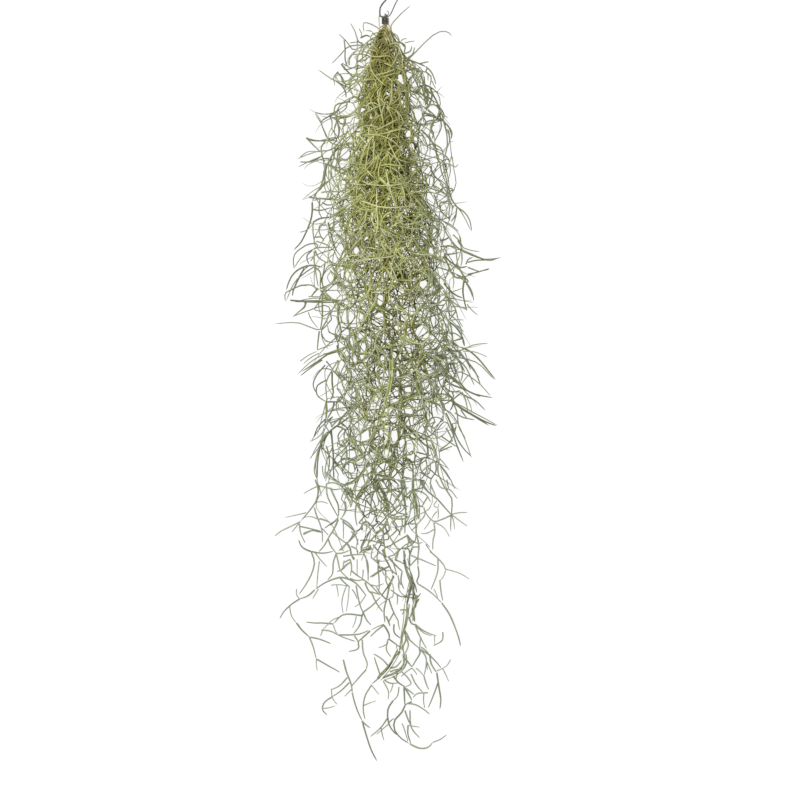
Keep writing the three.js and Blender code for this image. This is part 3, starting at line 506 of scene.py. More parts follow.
MIDDLE_SIDE = routes("""
312 250, 307 255, 307 260, 309 264
315 250, 313 256, 310 261
315 250, 319 257, 328 263
300 274, 304 269, 309 265
314 251, 314 262, 316 275, 318 287
315 267, 320 272, 320 283, 320 288
320 288, 328 285, 333 280, 335 275
300 285, 311 285, 317 289
337 301, 330 310, 321 317
320 290, 325 296, 330 300
305 300, 304 306, 300 310
330 313, 326 321, 321 331, 325 340, 334 343
319 331, 318 341, 317 350
347 304, 347 314, 349 323, 351 329
342 322, 347 326
342 327, 350 330
342 336, 345 339, 350 337
350 341, 348 347, 345 352
332 284, 340 284, 345 288, 347 295
331 271, 335 276, 334 282
325 262, 325 270, 320 284
322 360, 313 367, 300 376
325 365, 316 376, 313 385, 316 393
326 380, 317 386, 317 395, 326 402
326 361, 332 369
338 360, 332 370, 326 382, 326 393, 327 401
339 361, 337 368, 334 373
333 371, 340 375, 347 374
334 371, 341 379, 345 380
338 402, 340 397, 346 393
338 402, 344 403, 346 409
326 419, 324 424, 329 432
327 419, 331 423, 332 428
325 419, 317 427, 313 438
330 431, 326 439, 323 447
326 446, 329 458, 328 471, 324 479
318 450, 315 462, 314 472, 317 480
343 428, 337 436, 340 444
337 443, 343 447, 349 445
345 407, 355 406
331 427, 338 420, 348 415
352 478, 349 472, 343 474, 342 468, 350 460, 363 453
334 468, 341 461, 350 459
443 250, 448 245, 455 248, 463 250
461 246, 464 251, 468 253
458 240, 462 246
468 262, 478 261, 494 260
444 254, 452 254, 460 252
456 248, 456 256, 458 267
462 252, 462 260, 461 266
449 268, 447 274, 444 281
468 267, 474 269, 479 271
468 274, 477 272, 490 268
466 264, 469 259, 473 257
465 277, 468 281, 466 285
467 284, 470 291, 474 299
443 290, 446 295, 450 299
450 299, 457 305, 468 310
450 300, 455 308, 458 318
443 300, 450 300
445 311, 456 310
456 311, 450 319
439 308, 444 314, 449 321
441 311, 450 322
450 323, 452 334, 453 346
449 333, 455 334, 465 341
451 340, 461 348
463 340, 465 346
459 353, 466 362, 471 370
457 358, 466 367, 475 386
455 356, 461 366, 465 372
452 360, 457 371, 461 384
450 362, 453 370, 457 378
460 393, 468 397, 476 401, 486 411
448 391, 462 392
462 392, 465 399, 468 412
460 394, 452 401
455 413, 463 418, 475 420
461 410, 467 418
452 400, 457 412, 459 427, 466 439
452 424, 457 438, 464 449, 472 457
441 436, 447 440, 457 447
440 450, 447 446, 453 440
439 452, 453 446
446 428, 450 435, 453 442
438 462, 445 471, 451 481
438 464, 438 473, 441 481
344 39, 345 49, 345 59, 348 66, 356 67
349 64, 350 58, 356 50
337 71, 341 76, 343 82, 350 84
372 32, 377 36
378 38, 369 40, 362 47, 358 55, 355 68
374 41, 365 47, 362 60
378 42, 370 48, 364 56, 358 60
358 78, 352 80, 348 92
347 101, 345 107, 337 114
336 116, 343 116, 350 116
334 112, 328 116, 321 121, 324 130, 328 138
306 137, 312 144, 320 151
328 139, 331 143, 340 145
325 140, 321 147, 322 155, 325 163
300 161, 310 160, 321 156
325 163, 331 165, 338 170, 349 163
325 163, 325 169, 323 176
335 147, 333 156, 331 165
338 149, 340 157, 348 160
348 131, 341 140, 331 149
345 118, 344 124, 342 129
322 150, 328 149, 335 147
329 170, 330 177, 320 188
309 197, 320 197, 332 198
320 197, 319 205, 319 212, 322 218
312 209, 320 210, 331 207
322 202, 327 204, 333 204
313 222, 314 232, 315 245
326 225, 320 225, 319 231, 322 239
334 222, 332 236
339 224, 343 230, 348 234
333 236, 338 234, 346 243
316 241, 324 244, 332 248
315 237, 321 237, 324 241
314 248, 320 247, 331 247
321 192, 328 191, 343 191, 352 184
343 180, 356 181
404 53, 410 50, 412 45
408 57, 413 54, 415 46
426 66, 431 71, 434 77, 436 84
420 63, 425 62, 429 61
427 68, 426 71, 431 76, 430 86
411 60, 416 69
416 70, 419 80, 420 92, 416 107
413 72, 411 81, 413 88, 419 90
411 91, 417 94, 424 100
411 108, 417 107, 423 107
427 108, 431 104, 436 105, 439 109
405 82, 412 88
396 80, 404 90
428 109, 439 119
425 122, 432 120, 441 120
441 120, 442 127, 434 142
444 122, 447 135, 447 148, 443 161
424 110, 424 122
421 123, 425 124, 429 123
431 128, 433 133, 432 138
434 143, 441 149, 444 160
440 163, 441 170, 446 183
458 207, 465 212, 470 220, 472 231
440 183, 448 194, 450 205, 449 213, 450 221
443 183, 442 190, 434 193
449 188, 452 188, 453 191
450 200, 440 203
440 204, 440 209, 445 210
457 207, 457 215, 453 226
456 214, 451 221
440 210, 450 219
444 221, 451 224, 459 231
453 234, 459 240, 464 248
434 194, 438 206
430 228, 434 225, 438 233, 436 239
430 230, 431 235, 435 240
443 223, 445 230, 451 240, 456 248
446 378, 444 384, 447 389, 453 392, 461 390
452 391, 454 396, 452 400
446 392, 449 398, 448 404
460 362, 462 372, 461 382
450 356, 452 363, 456 373
402 372, 398 367, 394 372, 396 378
444 376, 452 378, 460 383
342 447, 352 445, 364 445, 375 442, 384 445
389 431, 388 440, 384 447, 378 450
389 422, 390 434, 391 446, 392 452, 390 462
399 429, 399 440, 397 448, 399 460
404 430, 404 444, 402 458
382 458, 390 460, 398 462, 406 467
378 465, 386 462, 392 461
391 461, 391 472, 390 482, 388 493
379 475, 387 476, 393 479, 400 487
379 478, 385 484, 389 490, 403 487
392 467, 398 471, 404 479
403 458, 404 470, 402 480, 403 490
404 477, 410 479, 414 479
413 466, 413 478, 412 490, 409 500
404 461, 409 459, 412 464, 413 468
416 452, 424 454, 431 456
421 458, 420 466, 423 473, 429 474, 431 460
431 479, 425 476, 419 472
436 463, 436 472, 431 480, 431 492
416 455, 415 462, 417 470
342 440, 346 448, 347 456, 343 470
350 426, 345 431, 344 438, 349 443
352 424, 359 431, 361 438, 359 444
360 434, 366 429, 372 431, 375 439
375 428, 373 438, 371 448
380 450, 381 459, 378 468
355 470, 353 463, 347 463, 344 469
387 493, 395 490, 403 488
404 488, 399 494, 395 501
414 491, 421 492, 427 496, 431 503
421 484, 427 490, 434 497
412 481, 418 480, 425 481
350 488, 353 499
362 486, 361 498
381 489, 386 497
350 330, 349 340, 345 348, 339 352
358 342, 361 339, 367 340, 368 347, 366 353, 361 355
367 334, 366 343
372 334, 371 345, 372 352
379 352, 379 360, 380 368
385 352, 385 360, 384 368, 388 378
402 386, 407 386, 413 380
401 380, 405 376, 412 377, 414 384, 413 391
421 380, 422 390, 428 387, 429 380
349 389, 353 387, 357 390, 357 397, 351 398, 348 394
369 388, 372 395, 374 402
372 388, 376 393, 379 399
404 408, 409 406, 414 408, 413 416, 405 417
350 400, 356 402, 360 408
361 408, 365 414, 366 422
351 420, 353 412, 357 407
330 423, 338 419, 346 413
333 428, 342 422, 351 415
376 296, 376 303, 380 307
384 295, 385 301, 381 307
396 80, 399 88, 399 97, 400 106, 402 113
398 86, 400 90, 403 88, 406 86
424 76, 425 88, 425 98, 426 106
428 88, 429 97, 427 104
412 74, 416 80, 418 86
316 243, 308 244, 301 248, 295 253, 293 260, 294 269
306 285, 301 285, 296 287, 290 290, 285 293, 285 302
306 302, 304 307, 299 311, 292 317
""")

THIN_SIDE = routes("""
308 296, 321 296
318 303, 314 309, 322 311, 337 311
308 312, 312 319, 318 328
321 334, 324 342, 328 349
317 350, 333 344
300 361, 308 355, 317 351
340 342, 350 341
325 290, 343 291
331 270, 327 277, 330 283
319 353, 303 364
323 354, 332 352
324 429, 318 436, 309 442
323 438, 317 447, 309 459
322 466, 322 474, 325 480
338 404, 339 409, 345 411
332 411, 345 410
334 453, 344 459
463 247, 472 249, 480 251
453 274, 454 282, 453 289
453 291, 462 288
467 304, 478 315
451 320, 464 320
457 316, 463 327
457 325, 464 332
463 351, 475 352, 488 357
465 352, 471 366, 480 378
470 374, 462 384
466 395, 470 406, 472 413
452 424, 458 423
440 459, 449 470
342 62, 347 65
337 71, 335 75, 336 79
372 31, 366 30
359 28, 361 34, 360 38
357 36, 357 50
350 42, 363 42
357 61, 368 58
340 104, 335 113
315 113, 321 121
336 118, 336 125, 330 136
300 156, 308 152, 321 151
314 200, 326 198
300 232, 307 229, 314 222
401 40, 404 38, 407 38
405 42, 415 40
428 73, 428 80
432 80, 436 88
441 112, 448 117
429 124, 435 125
431 173, 433 179, 431 189
451 203, 454 208
379.3 14.5, 378.9 19, 379.3 25, 380 31
388 24, 390 27, 389 31
""")

THICK_TAIL = routes("""
315 480, 318 490, 316 501, 310 510, 300 522
310 552, 305 550, 301 547, 298 540
319 519, 324 521, 330 523
338 520, 334 529, 329 537, 324 546, 318 553
330 488, 334 497, 338 506, 338 518
343 489, 348 494, 353 501
350 550, 352 556, 354 561
375 480, 377 489, 381 498, 387 505, 389 512
379 500, 384 505, 388.7 512.6
384 500, 391 503, 394 510, 388 515, 383 521, 375 529
362 531, 362 525, 366 522, 371 526, 376 533
402 480, 402 490, 404 500, 406 512, 405 524, 405 535
413 480, 413 489, 407 499
412 490, 415 500, 417 510, 418 520
424 480, 423 488, 411 490
421 480, 427 491, 437 499, 445 508, 452 516
417 524, 416 532, 419 546, 418 558, 418 567
395 528, 399 531, 400 536
402 549, 408 550, 410 557
412 549, 409 557, 410 567
404 551, 405 560, 407 570
371 547, 366 549, 360 551
369 549, 363 551, 359 554
384 549, 385 553, 386 558
384 557, 389 566, 393 575
388 557, 395 565, 403 573
349 580, 341 578, 333 580, 324 584, 314 591
314 591, 307 596, 299 600
363 613, 362 616, 352 615, 342 616, 333 625
296 624, 301 631, 309 638
370 632, 364 638, 358 643
394 577, 389 588, 381 597
389 588, 387 598, 384 611, 385 624
406 567, 408 575, 411 583, 413 590, 416 598
407 572, 410 578, 415 586, 417 594
410 578, 411 586, 408 597, 407 609
416 598, 416 606, 413 613, 415 623
419 600, 415 609, 410 619
407 608, 408 616, 405 626, 402 636
405 627, 403 635, 401 643, 399 652
404 630, 406 640, 403 648, 405 658
419 648, 420 654, 416 661, 412 668
384 626, 388 635, 389 641
365 583, 368 589, 371 594
442 604, 449 614, 454 625, 459 639, 461 648
400 652, 394 659, 389 668, 381 677, 371 686
404 655, 404 664, 397 673, 388 677, 382 680
405 659, 409 664, 412 668
390 669, 396 668, 402 661
393 677, 398 684, 405 688
343 661, 346 673, 351 686, 352 694
362 722, 366 736, 371 751, 377 763
393 702, 388 710, 388 722, 391 730, 397 737
404 688, 405 698, 405 707
405 707, 401 715, 395 721, 394 730, 400 739, 410 746
410 746, 420 750, 428 749, 433 744
404 688, 408 695, 412 702
430 655, 432 664, 437 674
437 674, 439 688, 441 701, 440 711
356 532, 360 530, 363 524
386 617, 388 622, 390 627
409 618, 412 624, 416 626
389 517, 396 519, 404 519, 410 516
346 543, 350 549, 351 555, 355 560
382 550, 384 555, 387 558
342 522, 349 528, 355 533
""")

MIDDLE_TAIL = routes("""
300 522, 290 527, 280 532, 274 537
299 524, 301 533, 305 544
300 527, 310 530, 321 532
303 534, 311 531
310 552, 322 553, 333 552
311 553, 314 563, 311 575, 305 586, 298 596
314 508, 316 515, 320 525, 322 533, 322 544
338 518, 333 523, 330 526
328 540, 331 547, 336 554
336 554, 342 553, 349 551
332 532, 339 539, 346 544, 350 550
326 484, 327 496, 332 507, 338 518
318 486, 327 488, 334 490, 341 489
326 484, 333 483, 340 486, 345 491
344 502, 345 510, 342 518
340 519, 348 525, 356 534
336 554, 333 563, 332 575, 327 581
336 555, 338 563, 340 571, 349 580
350 560, 346 562, 343 564
350 563, 343 570
350 560, 351 568, 350 577
353 501, 358 506, 362 513
356 505, 356 516, 357 527
351 571, 356 575, 362 579
343 557, 353 555, 363 555
365 557, 367 565, 368 578
380 489, 384 496, 388 501
376 533, 383 527, 389 516
374 491, 366 497, 362 504
374 491, 370 502, 371 515
362 511, 364 516, 368 519
392 483, 387 491
387 492, 398 489, 409 488
401 492, 397 499
430 483, 432 490, 436 497
436 480, 441 488, 450 490, 458 500
441 480, 446 490, 452 499, 452 510, 451 521, 451 533
447 480, 449 489
451 516, 442 520, 434 522, 427 515, 423 507
423 507, 417 506, 411 509
428 497, 425 502, 422 507
424 508, 425 515, 418 524, 411 532
409 524, 417 524
434 523, 435 532, 433 542, 433 551
407 535, 410 540, 414 544
407 536, 398 541, 387 548
387 533, 392 541, 398 549, 403 549
393 521, 398 528
397 530, 390 537
411 556, 422 560, 437 567
418 558, 410 567
399 550, 394 555, 388 557
373 545, 378 551, 386 558
385 548, 391 546
389 567, 380 571, 369 578
379 560, 378 569, 379 579, 379 592
379 567, 385 570, 386 582, 389 588
360 541, 370 542, 384 545
377 541, 383 544, 385 550
387 533, 386 527, 386 522
379 527, 383 533, 388 535
430 552, 438 559, 444 566, 446 571
438 559, 438 571, 435 581, 431 591
418 567, 419 576, 417 583, 422 588
299 600, 290 606, 283 613, 279 620
349 580, 356 585, 366 596
340 579, 345 584, 350 588
356 586, 358 598, 361 609, 363 613
333 625, 322 624, 314 624, 305 623
321 631, 330 632, 342 638, 356 643
338 636, 350 636, 360 635, 369 631
363 613, 372 607, 381 597
363 613, 367 621, 371 626
362 616, 359 626, 353 635
309 638, 319 641, 331 645
309 638, 313 647, 316 660
358 643, 358 650, 348 653
354 637, 358 643
362 641, 363 654, 367 665, 366 671
391 571, 397 576
402 573, 402 582, 404 590
407 598, 400 597, 390 590
415 625, 425 631, 437 637
443 633, 442 641, 433 647
415 625, 421 637, 427 650
405 636, 412 643, 419 649
421 638, 420 649
420 650, 430 658, 442 670
420 650, 426 658, 426 668, 424 677
421 648, 429 655
389 640, 400 648
388 640, 387 650, 391 658
384 626, 377 632, 370 638
394 613, 388 624
389 600, 394 611, 399 623
394 625, 395 633, 400.9 639.4
371 592, 377 603, 383 613
362 579, 371 586, 380 596
370 592, 380 595
420 586, 431 594, 442 604
440 581, 441 592, 443 602
316 660, 327 668, 340 674
352 694, 357 708, 362 722
362 722, 370 729
347 679, 339 687, 331 691
349 684, 340 692, 332 698
332 698, 324 704, 322 711, 327 717
366 671, 359 679, 351 688
371 687, 365 697, 363 710, 365 721
380 676, 377 665, 374 658
389 668, 381 661, 373 655
390 673, 399 670
398 671, 396 680
384 681, 390 684, 398 684
387 720, 380 728, 370 738
405 689, 414 696
401 672, 408 679, 411 685, 405 688
412 703, 408 705, 405 707
408 705, 415 706, 424 711, 430 716
405 712, 409 721, 411 727
410 712, 413 729, 420 740
408 727, 407 736, 411 746
411 675, 415 685, 423 694
428 694, 417 695, 413 699
424 677, 427 685, 429 691
438 684, 433 695, 428 710
357 533, 351 540, 344 546, 338 552
351 532, 355 537, 358 546
351 547, 356 550, 358 555
366 540, 363 546, 361 549
369 543, 375 536, 382 530, 388 524
387 520, 384 527, 383 534
407 536, 408 543, 405 551
408 538, 412 545, 414 549
394 508, 398 513, 409 515
395 509, 401 506, 409 507
396 519, 393 523, 397 528
401 516, 403 524, 400 531
409 517, 406 526, 405 534
411 503, 410 511, 409 518
396 508, 400 503, 403 498
350 579, 356 581, 364 580
419 548, 415 548, 411 549
404 560, 405 556, 403 551
386 600, 380 594, 376 587
400 611, 405 611, 409 614
407 640, 408 646, 405 655
404 630, 408 636, 410 641
303 535, 312 531, 317 532, 322 533
345 502, 345 511, 341 519
354 533, 350 540, 345 546, 340 551
350 563, 345 567, 340 572
363 553, 366 559, 367 566, 368 575, 368 582
383 530, 383 540, 385 550
389 567, 383 570, 378 573, 371 578
393 576, 391 584, 388 590
406 598, 411 595, 417 597
412 600, 418 598, 421 594
336 521, 330 525, 324 529
391 519, 396 518, 402 516, 409 517
""")

THIN_TAIL = routes("""
299 523, 291 533
306 513, 296 515, 284 518
314.2 552.4, 320 560, 327 568
314.8 502.8, 321 502, 328 504
319 520, 310 517, 303 518
341 551, 347 542
318 486, 309 490, 303 494
319 487, 321 497
344 491, 341 500, 344 503
338 510, 347 512, 357 510
343 521, 343 540
357 560, 357 577
376 533, 375 541
370 510, 368 519
371 514, 384 518
383 480, 387 488
451 480, 456 489
451 515, 460 513, 468 513
452 515, 455 523, 455 530
453 516, 460 522, 468 527
435 523, 443 529, 450 538
434 530, 427 533, 421 534
431 519, 424 530
437 501, 434 506, 438 508, 439 504
438 509, 438 520
437 512, 432 519
399 550, 396 562
392 560, 397 576
380 553, 373 560
366 540, 370 531
388 523, 392 531
426 545, 432 553
445.4 569.6, 461 574, 470 580
296 590, 296 596, 299 600
318 590, 312 600
319 562, 318 577, 316.4 589.4
331 586, 348 587
349 587, 348 602, 346 613
346 587, 343 602, 343 615
366 595, 360 603, 354 608
352 590, 357 600
339 618, 332 621, 328 625, 322 631
333 626, 337 635
356 617, 352 629
322 632, 320 637
289 607, 292 617, 296 624
398 576, 401 586
417 628, 424 634, 432 637
435 636, 435 646
388 644, 378 649
384 625, 371 631
370 585, 377 587, 384 584
404 610, 402 616
434 590, 438 600
446 571, 444 578, 440 582
451 661, 447 667, 442 670
316 660, 317 672
331 690, 333 699, 337 706
322 710, 335 707
351 691, 344 698
371 686, 379 696
363 707, 369 704, 376 702
393 684, 390 694
383 682, 388 693, 388 701
399 688, 397 697, 392 703
381 728, 384 742
389 725, 376 736
389 724, 394 720
402 725, 404 733, 408 744
433 744, 447 736
408 727, 420 729
412 669, 401 678
412 669, 417 676
424 695, 425 710
416 669, 424 677
437 672, 443 670
443 670, 449 683
427 663, 432 675
358 540, 357 548, 358 556
369 541, 368 548
387 525, 391 529
412 541, 418 544, 423 543
363 570, 362 579
344 561, 343 570
398 577, 399 590
397.1 594.9, 397 606
398 622, 400 631
396 644, 398 653
427 663, 428 671
322 529, 328 536
336 585, 338 598
337 572, 343 570
""")

# Their routes, their radius and how pale they are. The side threads are darkest, partly their own
# tone and partly painted shade of the bunch's edges.
PLACED = (
    (THICK_SIDE, 0.88, 0.05), (MIDDLE_SIDE, 0.72, 0.2), (THIN_SIDE, 0.52, 0.4),
    (THICK_TAIL, 0.88, 0.74), (MIDDLE_TAIL, 0.76, 0.8), (THIN_TAIL, 0.58, 0.88),
)
PLACED_OLIVE = 0.8
# The share of its length that each is bowed up, and that one of fewer points than LONG_ROUTE is
# bowed aside.
PLACED_SIDE_BOW = 0.12
PLACED_RISE = 0.04
LONG_ROUTE = 4


class Span(NamedTuple):
    """The least and the most that a drawn size may be."""

    least: float
    most: float


INTERNODE = Span(25, 34)
ZIGZAG = Span(0.12, 0.55)
COLUMN_SWING = Span(0.08, 0.22)
COLUMN_PACE = Span(30, 60)
LEAF_LENGTH = Span(24, 40)
LEAF_SPREAD = Span(0.45, 1.15)
LEAF_CURL = Span(-0.5, 1.3)
BUNDLE_TURNS = Span(-0.4, 0.4)


class Draws:
    """A repeatable source of numbers from 0 to 1."""

    MULTIPLIER, MODULUS = 48271, 2147483647

    def __init__(self, seed: int) -> None:
        """Starts from a seed."""
        self.state = seed

    def one(self) -> float:
        """Draws the next number."""
        self.state = (self.state * self.MULTIPLIER) % self.MODULUS
        return self.state / self.MODULUS

    def within(self, span: Span) -> float:
        """Draws a number from a span."""
        return span.least + (span.most - span.least) * self.one()

    def side(self) -> int:
        """Draws one of the two sides, -1 or 1."""
        return -1 if self.one() < 0.5 else 1


# ---- The outline of the bunch and its layers ----


class Outline:
    """How wide and how thick the bunch is at each depth, and where the layers of its locks lie."""

    @staticmethod
    def half(depth: float) -> float:
        """Half the width at a depth."""
        return float(np.interp(depth, PLAN[:, 0], PLAN[:, 1]))

    @staticmethod
    def middle(depth: float) -> float:
        """The middle of the width at a depth."""
        return float(np.interp(depth, PLAN[:, 0], PLAN[:, 2]))

    @staticmethod
    def low(depth: float) -> float:
        """The clearance below the neck at a depth."""
        return float(np.interp(depth, PROFILE[:, 0], PROFILE[:, 1]))

    @staticmethod
    def high(depth: float) -> float:
        """The height of the crown at a depth."""
        return float(np.interp(depth, PROFILE[:, 0], PROFILE[:, 2]))

    @classmethod
    def thickness(cls, x: float, depth: float) -> float:
        """Thickness of all the layers: a dome across the width, thin at the sides."""
        across = min(1.0, abs(x - cls.middle(depth)) / (cls.half(depth) + EDGE_REACH))
        full = cls.high(depth) - cls.low(depth)
        dome = 0.5 + 0.5 * math.cos(math.pi * across**DOME_POWER)
        return max(LOCKS * THINNEST_LAYER, full * dome)

    @classmethod
    def level(cls, level: float, x: float, depth: float) -> float:
        """Height of a level in the stack of layers, from 0 at the bottom to LOCKS at the crown."""
        low = cls.low(depth) * math.exp(-((x / NECK_SPREAD) ** 2))
        layer = cls.thickness(x, depth) / LOCKS
        wave = math.sin(depth / SWELL_ALONG_PACE + x / SWELL_ACROSS_PACE)
        swell = SWELL_SHARE * (layer - THINNEST_LAYER) * wave
        return low + level * layer + swell * math.sin(math.pi * level / LOCKS)

    @classmethod
    def strand(cls, lock: int, share: float, x: float, depth: float, radius: float) -> float:
        """Height of a strand's middle line, a share of the way up the room of its layer."""
        margin = LAYER_GAP / 2
        floor = radius / 2 if lock == 0 else cls.level(lock, x, depth) + radius + margin
        ceiling = cls.level(lock + 1, x, depth) - radius - margin
        return floor + share * max(0.0, ceiling - floor)


# ---- Growth of the main strands, as the solids have them ----


@dataclass
class Node:
    """A node of a shoot: its place in plan, its depth, its share of the layer and its heading."""

    x: float
    depth: float
    share: float
    heading: float = 0.0
    turn: int = 1


@dataclass
class Shoot:
    """A strand or a leaf of a lock, with a point in space and a radius at each of its nodes."""

    lock: int
    nodes: list[Node]
    root_radius: float
    tip_radius: float
    stray: bool = False
    leaves: list[list["Shoot"]] = field(default_factory=list)
    points: Array = field(init=False)
    radii: Array = field(init=False)

    def __post_init__(self) -> None:
        """Works out the points and radii."""
        self.radii = np.linspace(self.root_radius, self.tip_radius, len(self.nodes))
        heights = [
            Outline.strand(self.lock, n.share, n.x, n.depth, max(r, LEAF_RADIUS))
            for n, r in zip(self.nodes, self.radii)
        ]
        self.points = np.array(
            [(n.x, TIE_LOW_Y - n.depth, z) for n, z in zip(self.nodes, heights)]
        )


class Thicket:
    """All the straight pieces of the shoots that stand already, to count clashes against."""

    def __init__(self) -> None:
        """Starts empty."""
        self.starts = np.empty((0, 3))
        self.ends = np.empty((0, 3))
        self.radii = np.empty(0)
        self.locks = np.empty(0, int)

    def add(self, shoot: Shoot) -> None:
        """Adds the pieces of a shoot."""
        count = len(shoot.points) - 1
        self.starts = np.concatenate([self.starts, shoot.points[:-1]])
        self.ends = np.concatenate([self.ends, shoot.points[1:]])
        self.radii = np.concatenate([self.radii, shoot.radii[:-1]])
        self.locks = np.concatenate([self.locks, np.full(count, shoot.lock)])

    def clashes(self, shoot: Shoot) -> tuple[int, int]:
        """Counts where a shoot would cut into the others.

        Args:
            shoot: The shoot to try.

        Returns:
            The clashes with shoots of its own lock, and with those of other locks.
        """
        if not len(self.radii):
            return 0, 0
        a, b = shoot.points[:-1, None], shoot.points[1:, None]
        c, d = self.starts[None], self.ends[None]
        ab, cd, ac = b - a, d - c, c - a
        same = self.locks[None] == shoot.lock
        spread = ab[..., 0] * cd[..., 1] - ab[..., 1] * cd[..., 0]
        apart = spread == 0
        safe = np.where(apart, 1.0, spread)
        along_ab = (ac[..., 0] * cd[..., 1] - ac[..., 1] * cd[..., 0]) / safe
        along_cd = (ac[..., 0] * ab[..., 1] - ac[..., 1] * ab[..., 0]) / safe
        slack_ab = PLAN_CLEARANCE / np.hypot(ab[..., 0], ab[..., 1])
        slack_cd = PLAN_CLEARANCE / np.hypot(cd[..., 0], cd[..., 1])
        met = ~apart & (along_ab >= np.where(same, ROOT_SHARE, -slack_ab))
        met &= along_ab <= 1 + slack_ab
        met &= (along_cd >= -slack_cd) & (along_cd <= 1 + slack_cd)
        rise = a[..., 2] + ab[..., 2] * along_ab - c[..., 2] - cd[..., 2] * along_cd
        met &= np.abs(rise) < shoot.radii[:-1, None] + self.radii[None] + LAYER_GAP / 2
        return int(np.sum(met & same)), int(np.sum(met & ~same))


@dataclass
class Column:
    """The line down the bunch that a strand wanders about."""

    side: float
    swing: float
    pace: float
    phase: float

    def x(self, depth: float) -> float:
        """The place in plan at a depth."""
        wander = self.side + self.swing * math.sin(depth / self.pace + self.phase)
        return Outline.middle(depth) + Outline.half(depth) * max(-1.0, min(1.0, wander))


class MainGrowth:
    """The strands, trails, strays and leaves of the solids, grown by the solids' own rule."""

    def __init__(self) -> None:
        """Grows everything."""
        self.draws = Draws(SEED)
        self.stems: list[Shoot] = []
        self.thicket = Thicket()
        for strand in range(STRANDS_PER_LOCK):
            for lock in range(LOCKS):
                self._keep(self._best_strand(lock, strand))
        for route in TRAILS:
            self._keep(self._lay(route, TRAIL_RADIUS, STRAND_TIP_RADIUS)[0])
        for stem in self.stems:
            stem.leaves = [[] for _ in stem.nodes]
        for route in STRAYS:
            stray, stem, at = self._lay(route, LEAF_RADIUS, 0.0)
            stray.stray = True
            stem.leaves[at].append(stray)
            self.thicket.add(stray)
        for stem in self.stems:
            for at in range(1, len(stem.nodes)):
                self._grow_leaves(stem, at)

    def _keep(self, stem: Shoot) -> None:
        """Keeps a stem."""
        self.stems.append(stem)
        self.thicket.add(stem)

    def _grow_strand(
        self, start: Node, column: Column, share: float, last_depth: float
    ) -> list[Node]:
        """Grows the nodes of a strand down its column."""
        draws, nodes, last = self.draws, [start], start
        turn = draws.side()
        while last.depth < last_depth:
            length = draws.within(INTERNODE)
            length *= CROWDED_INTERNODE if last.depth < CROWDED_DEPTH else 1
            aim = math.atan2(column.x(last.depth + length) - last.x, length)
            heading = aim + turn * draws.within(ZIGZAG)
            x = last.x + length * math.sin(heading)
            depth = last.depth + length * math.cos(heading)
            last = Node(x, depth, share, heading, turn)
            nodes.append(last)
            turn = -turn if draws.one() < TURN_ABOUT else turn
        return nodes

    def _best_strand(self, lock: int, strand: int) -> Shoot:
        """Grows strands in one column of a lock and keeps the one that meets the fewest others."""
        draws = self.draws
        rank = ((strand * 5 + lock * 3) % 7) / 6
        longer = (LONGEST_STRAND - SHORTEST_STRAND) * rank**SHORT_STRANDS_POWER
        best, least = None, math.inf
        for _ in range(STRAND_ATTEMPTS):
            side = -1 + 2 * (strand + 0.15 + 0.7 * draws.one()) / STRANDS_PER_LOCK
            swing, pace = draws.within(COLUMN_SWING), draws.within(COLUMN_PACE)
            column = Column(side, swing, pace, 2 * math.pi * draws.one())
            share = 0.0 if lock == 0 and strand % 2 == 0 else draws.one()
            fork = Node(NECK_X, FORK_DEPTH, 0.5)
            nodes = self._grow_strand(fork, column, share, SHORTEST_STRAND + longer)
            shoot = Shoot(lock, nodes, STEM_RADIUS, STRAND_TIP_RADIUS)
            own, others = self.thicket.clashes(shoot)
            cost = own + OTHER_LOCK_COST * others
            if cost < least:
                best, least = shoot, cost
        return best

    def _lay(
        self, route: Route, root_radius: float, tip_radius: float
    ) -> tuple[Shoot, Shoot, int]:
        """Lays a given route in the layer of the nearest lock that leaves it clear.

        Args:
            route: Places in plan, from the root to the tip.
            root_radius: Radius at the root.
            tip_radius: Radius at the tip.

        Returns:
            The shoot, the stem that it grows from and the node of that stem.
        """
        root_x, root_depth = route[0][0], TIE_LOW_Y - route[0][1]
        roots = [
            (math.hypot(node.x - root_x, node.depth - root_depth), stem, at)
            for stem in self.stems
            for at, node in enumerate(stem.nodes)
            if at > 0
        ]
        roots.sort(key=lambda root: root[0])
        best, least = None, math.inf
        for distance, stem, at in roots[:ROUTE_ROOTS]:
            for share in ROUTE_SHARES:
                nodes = [stem.nodes[at]]
                for x, y in route:
                    depth = TIE_LOW_Y - y
                    heading = math.atan2(x - nodes[-1].x, depth - nodes[-1].depth)
                    nodes.append(Node(x, depth, share, heading, 1 if len(nodes) % 2 else -1))
                shoot = Shoot(stem.lock, nodes, root_radius, tip_radius)
                own, others = self.thicket.clashes(shoot)
                cost = own + OTHER_LOCK_COST * others + ROUTE_DISTANCE_COST * distance
                if cost < least:
                    best, least = (shoot, stem, at), cost
        return best

    def _grow_leaf(self, node: Node) -> list[Node]:
        """Grows the nodes of a leaf."""
        draws = self.draws
        bends = 3 if draws.one() < THRICE_BENT_LEAVES else 2
        side = node.turn if draws.one() < OUTER_SIDE_LEAVES else -node.turn
        length = draws.within(LEAF_LENGTH)
        curl = side * draws.within(LEAF_CURL) / bends
        lift = draws.one() - 0.5
        heading = node.heading + side * draws.within(LEAF_SPREAD)
        nodes = [node]
        for step in range(1, bends + 1):
            x = nodes[-1].x + length / bends * math.sin(heading)
            depth = nodes[-1].depth + length / bends * math.cos(heading)
            nodes.append(Node(x, depth, max(0.0, min(1.0, node.share + lift * step / bends))))
            heading += curl
        return nodes

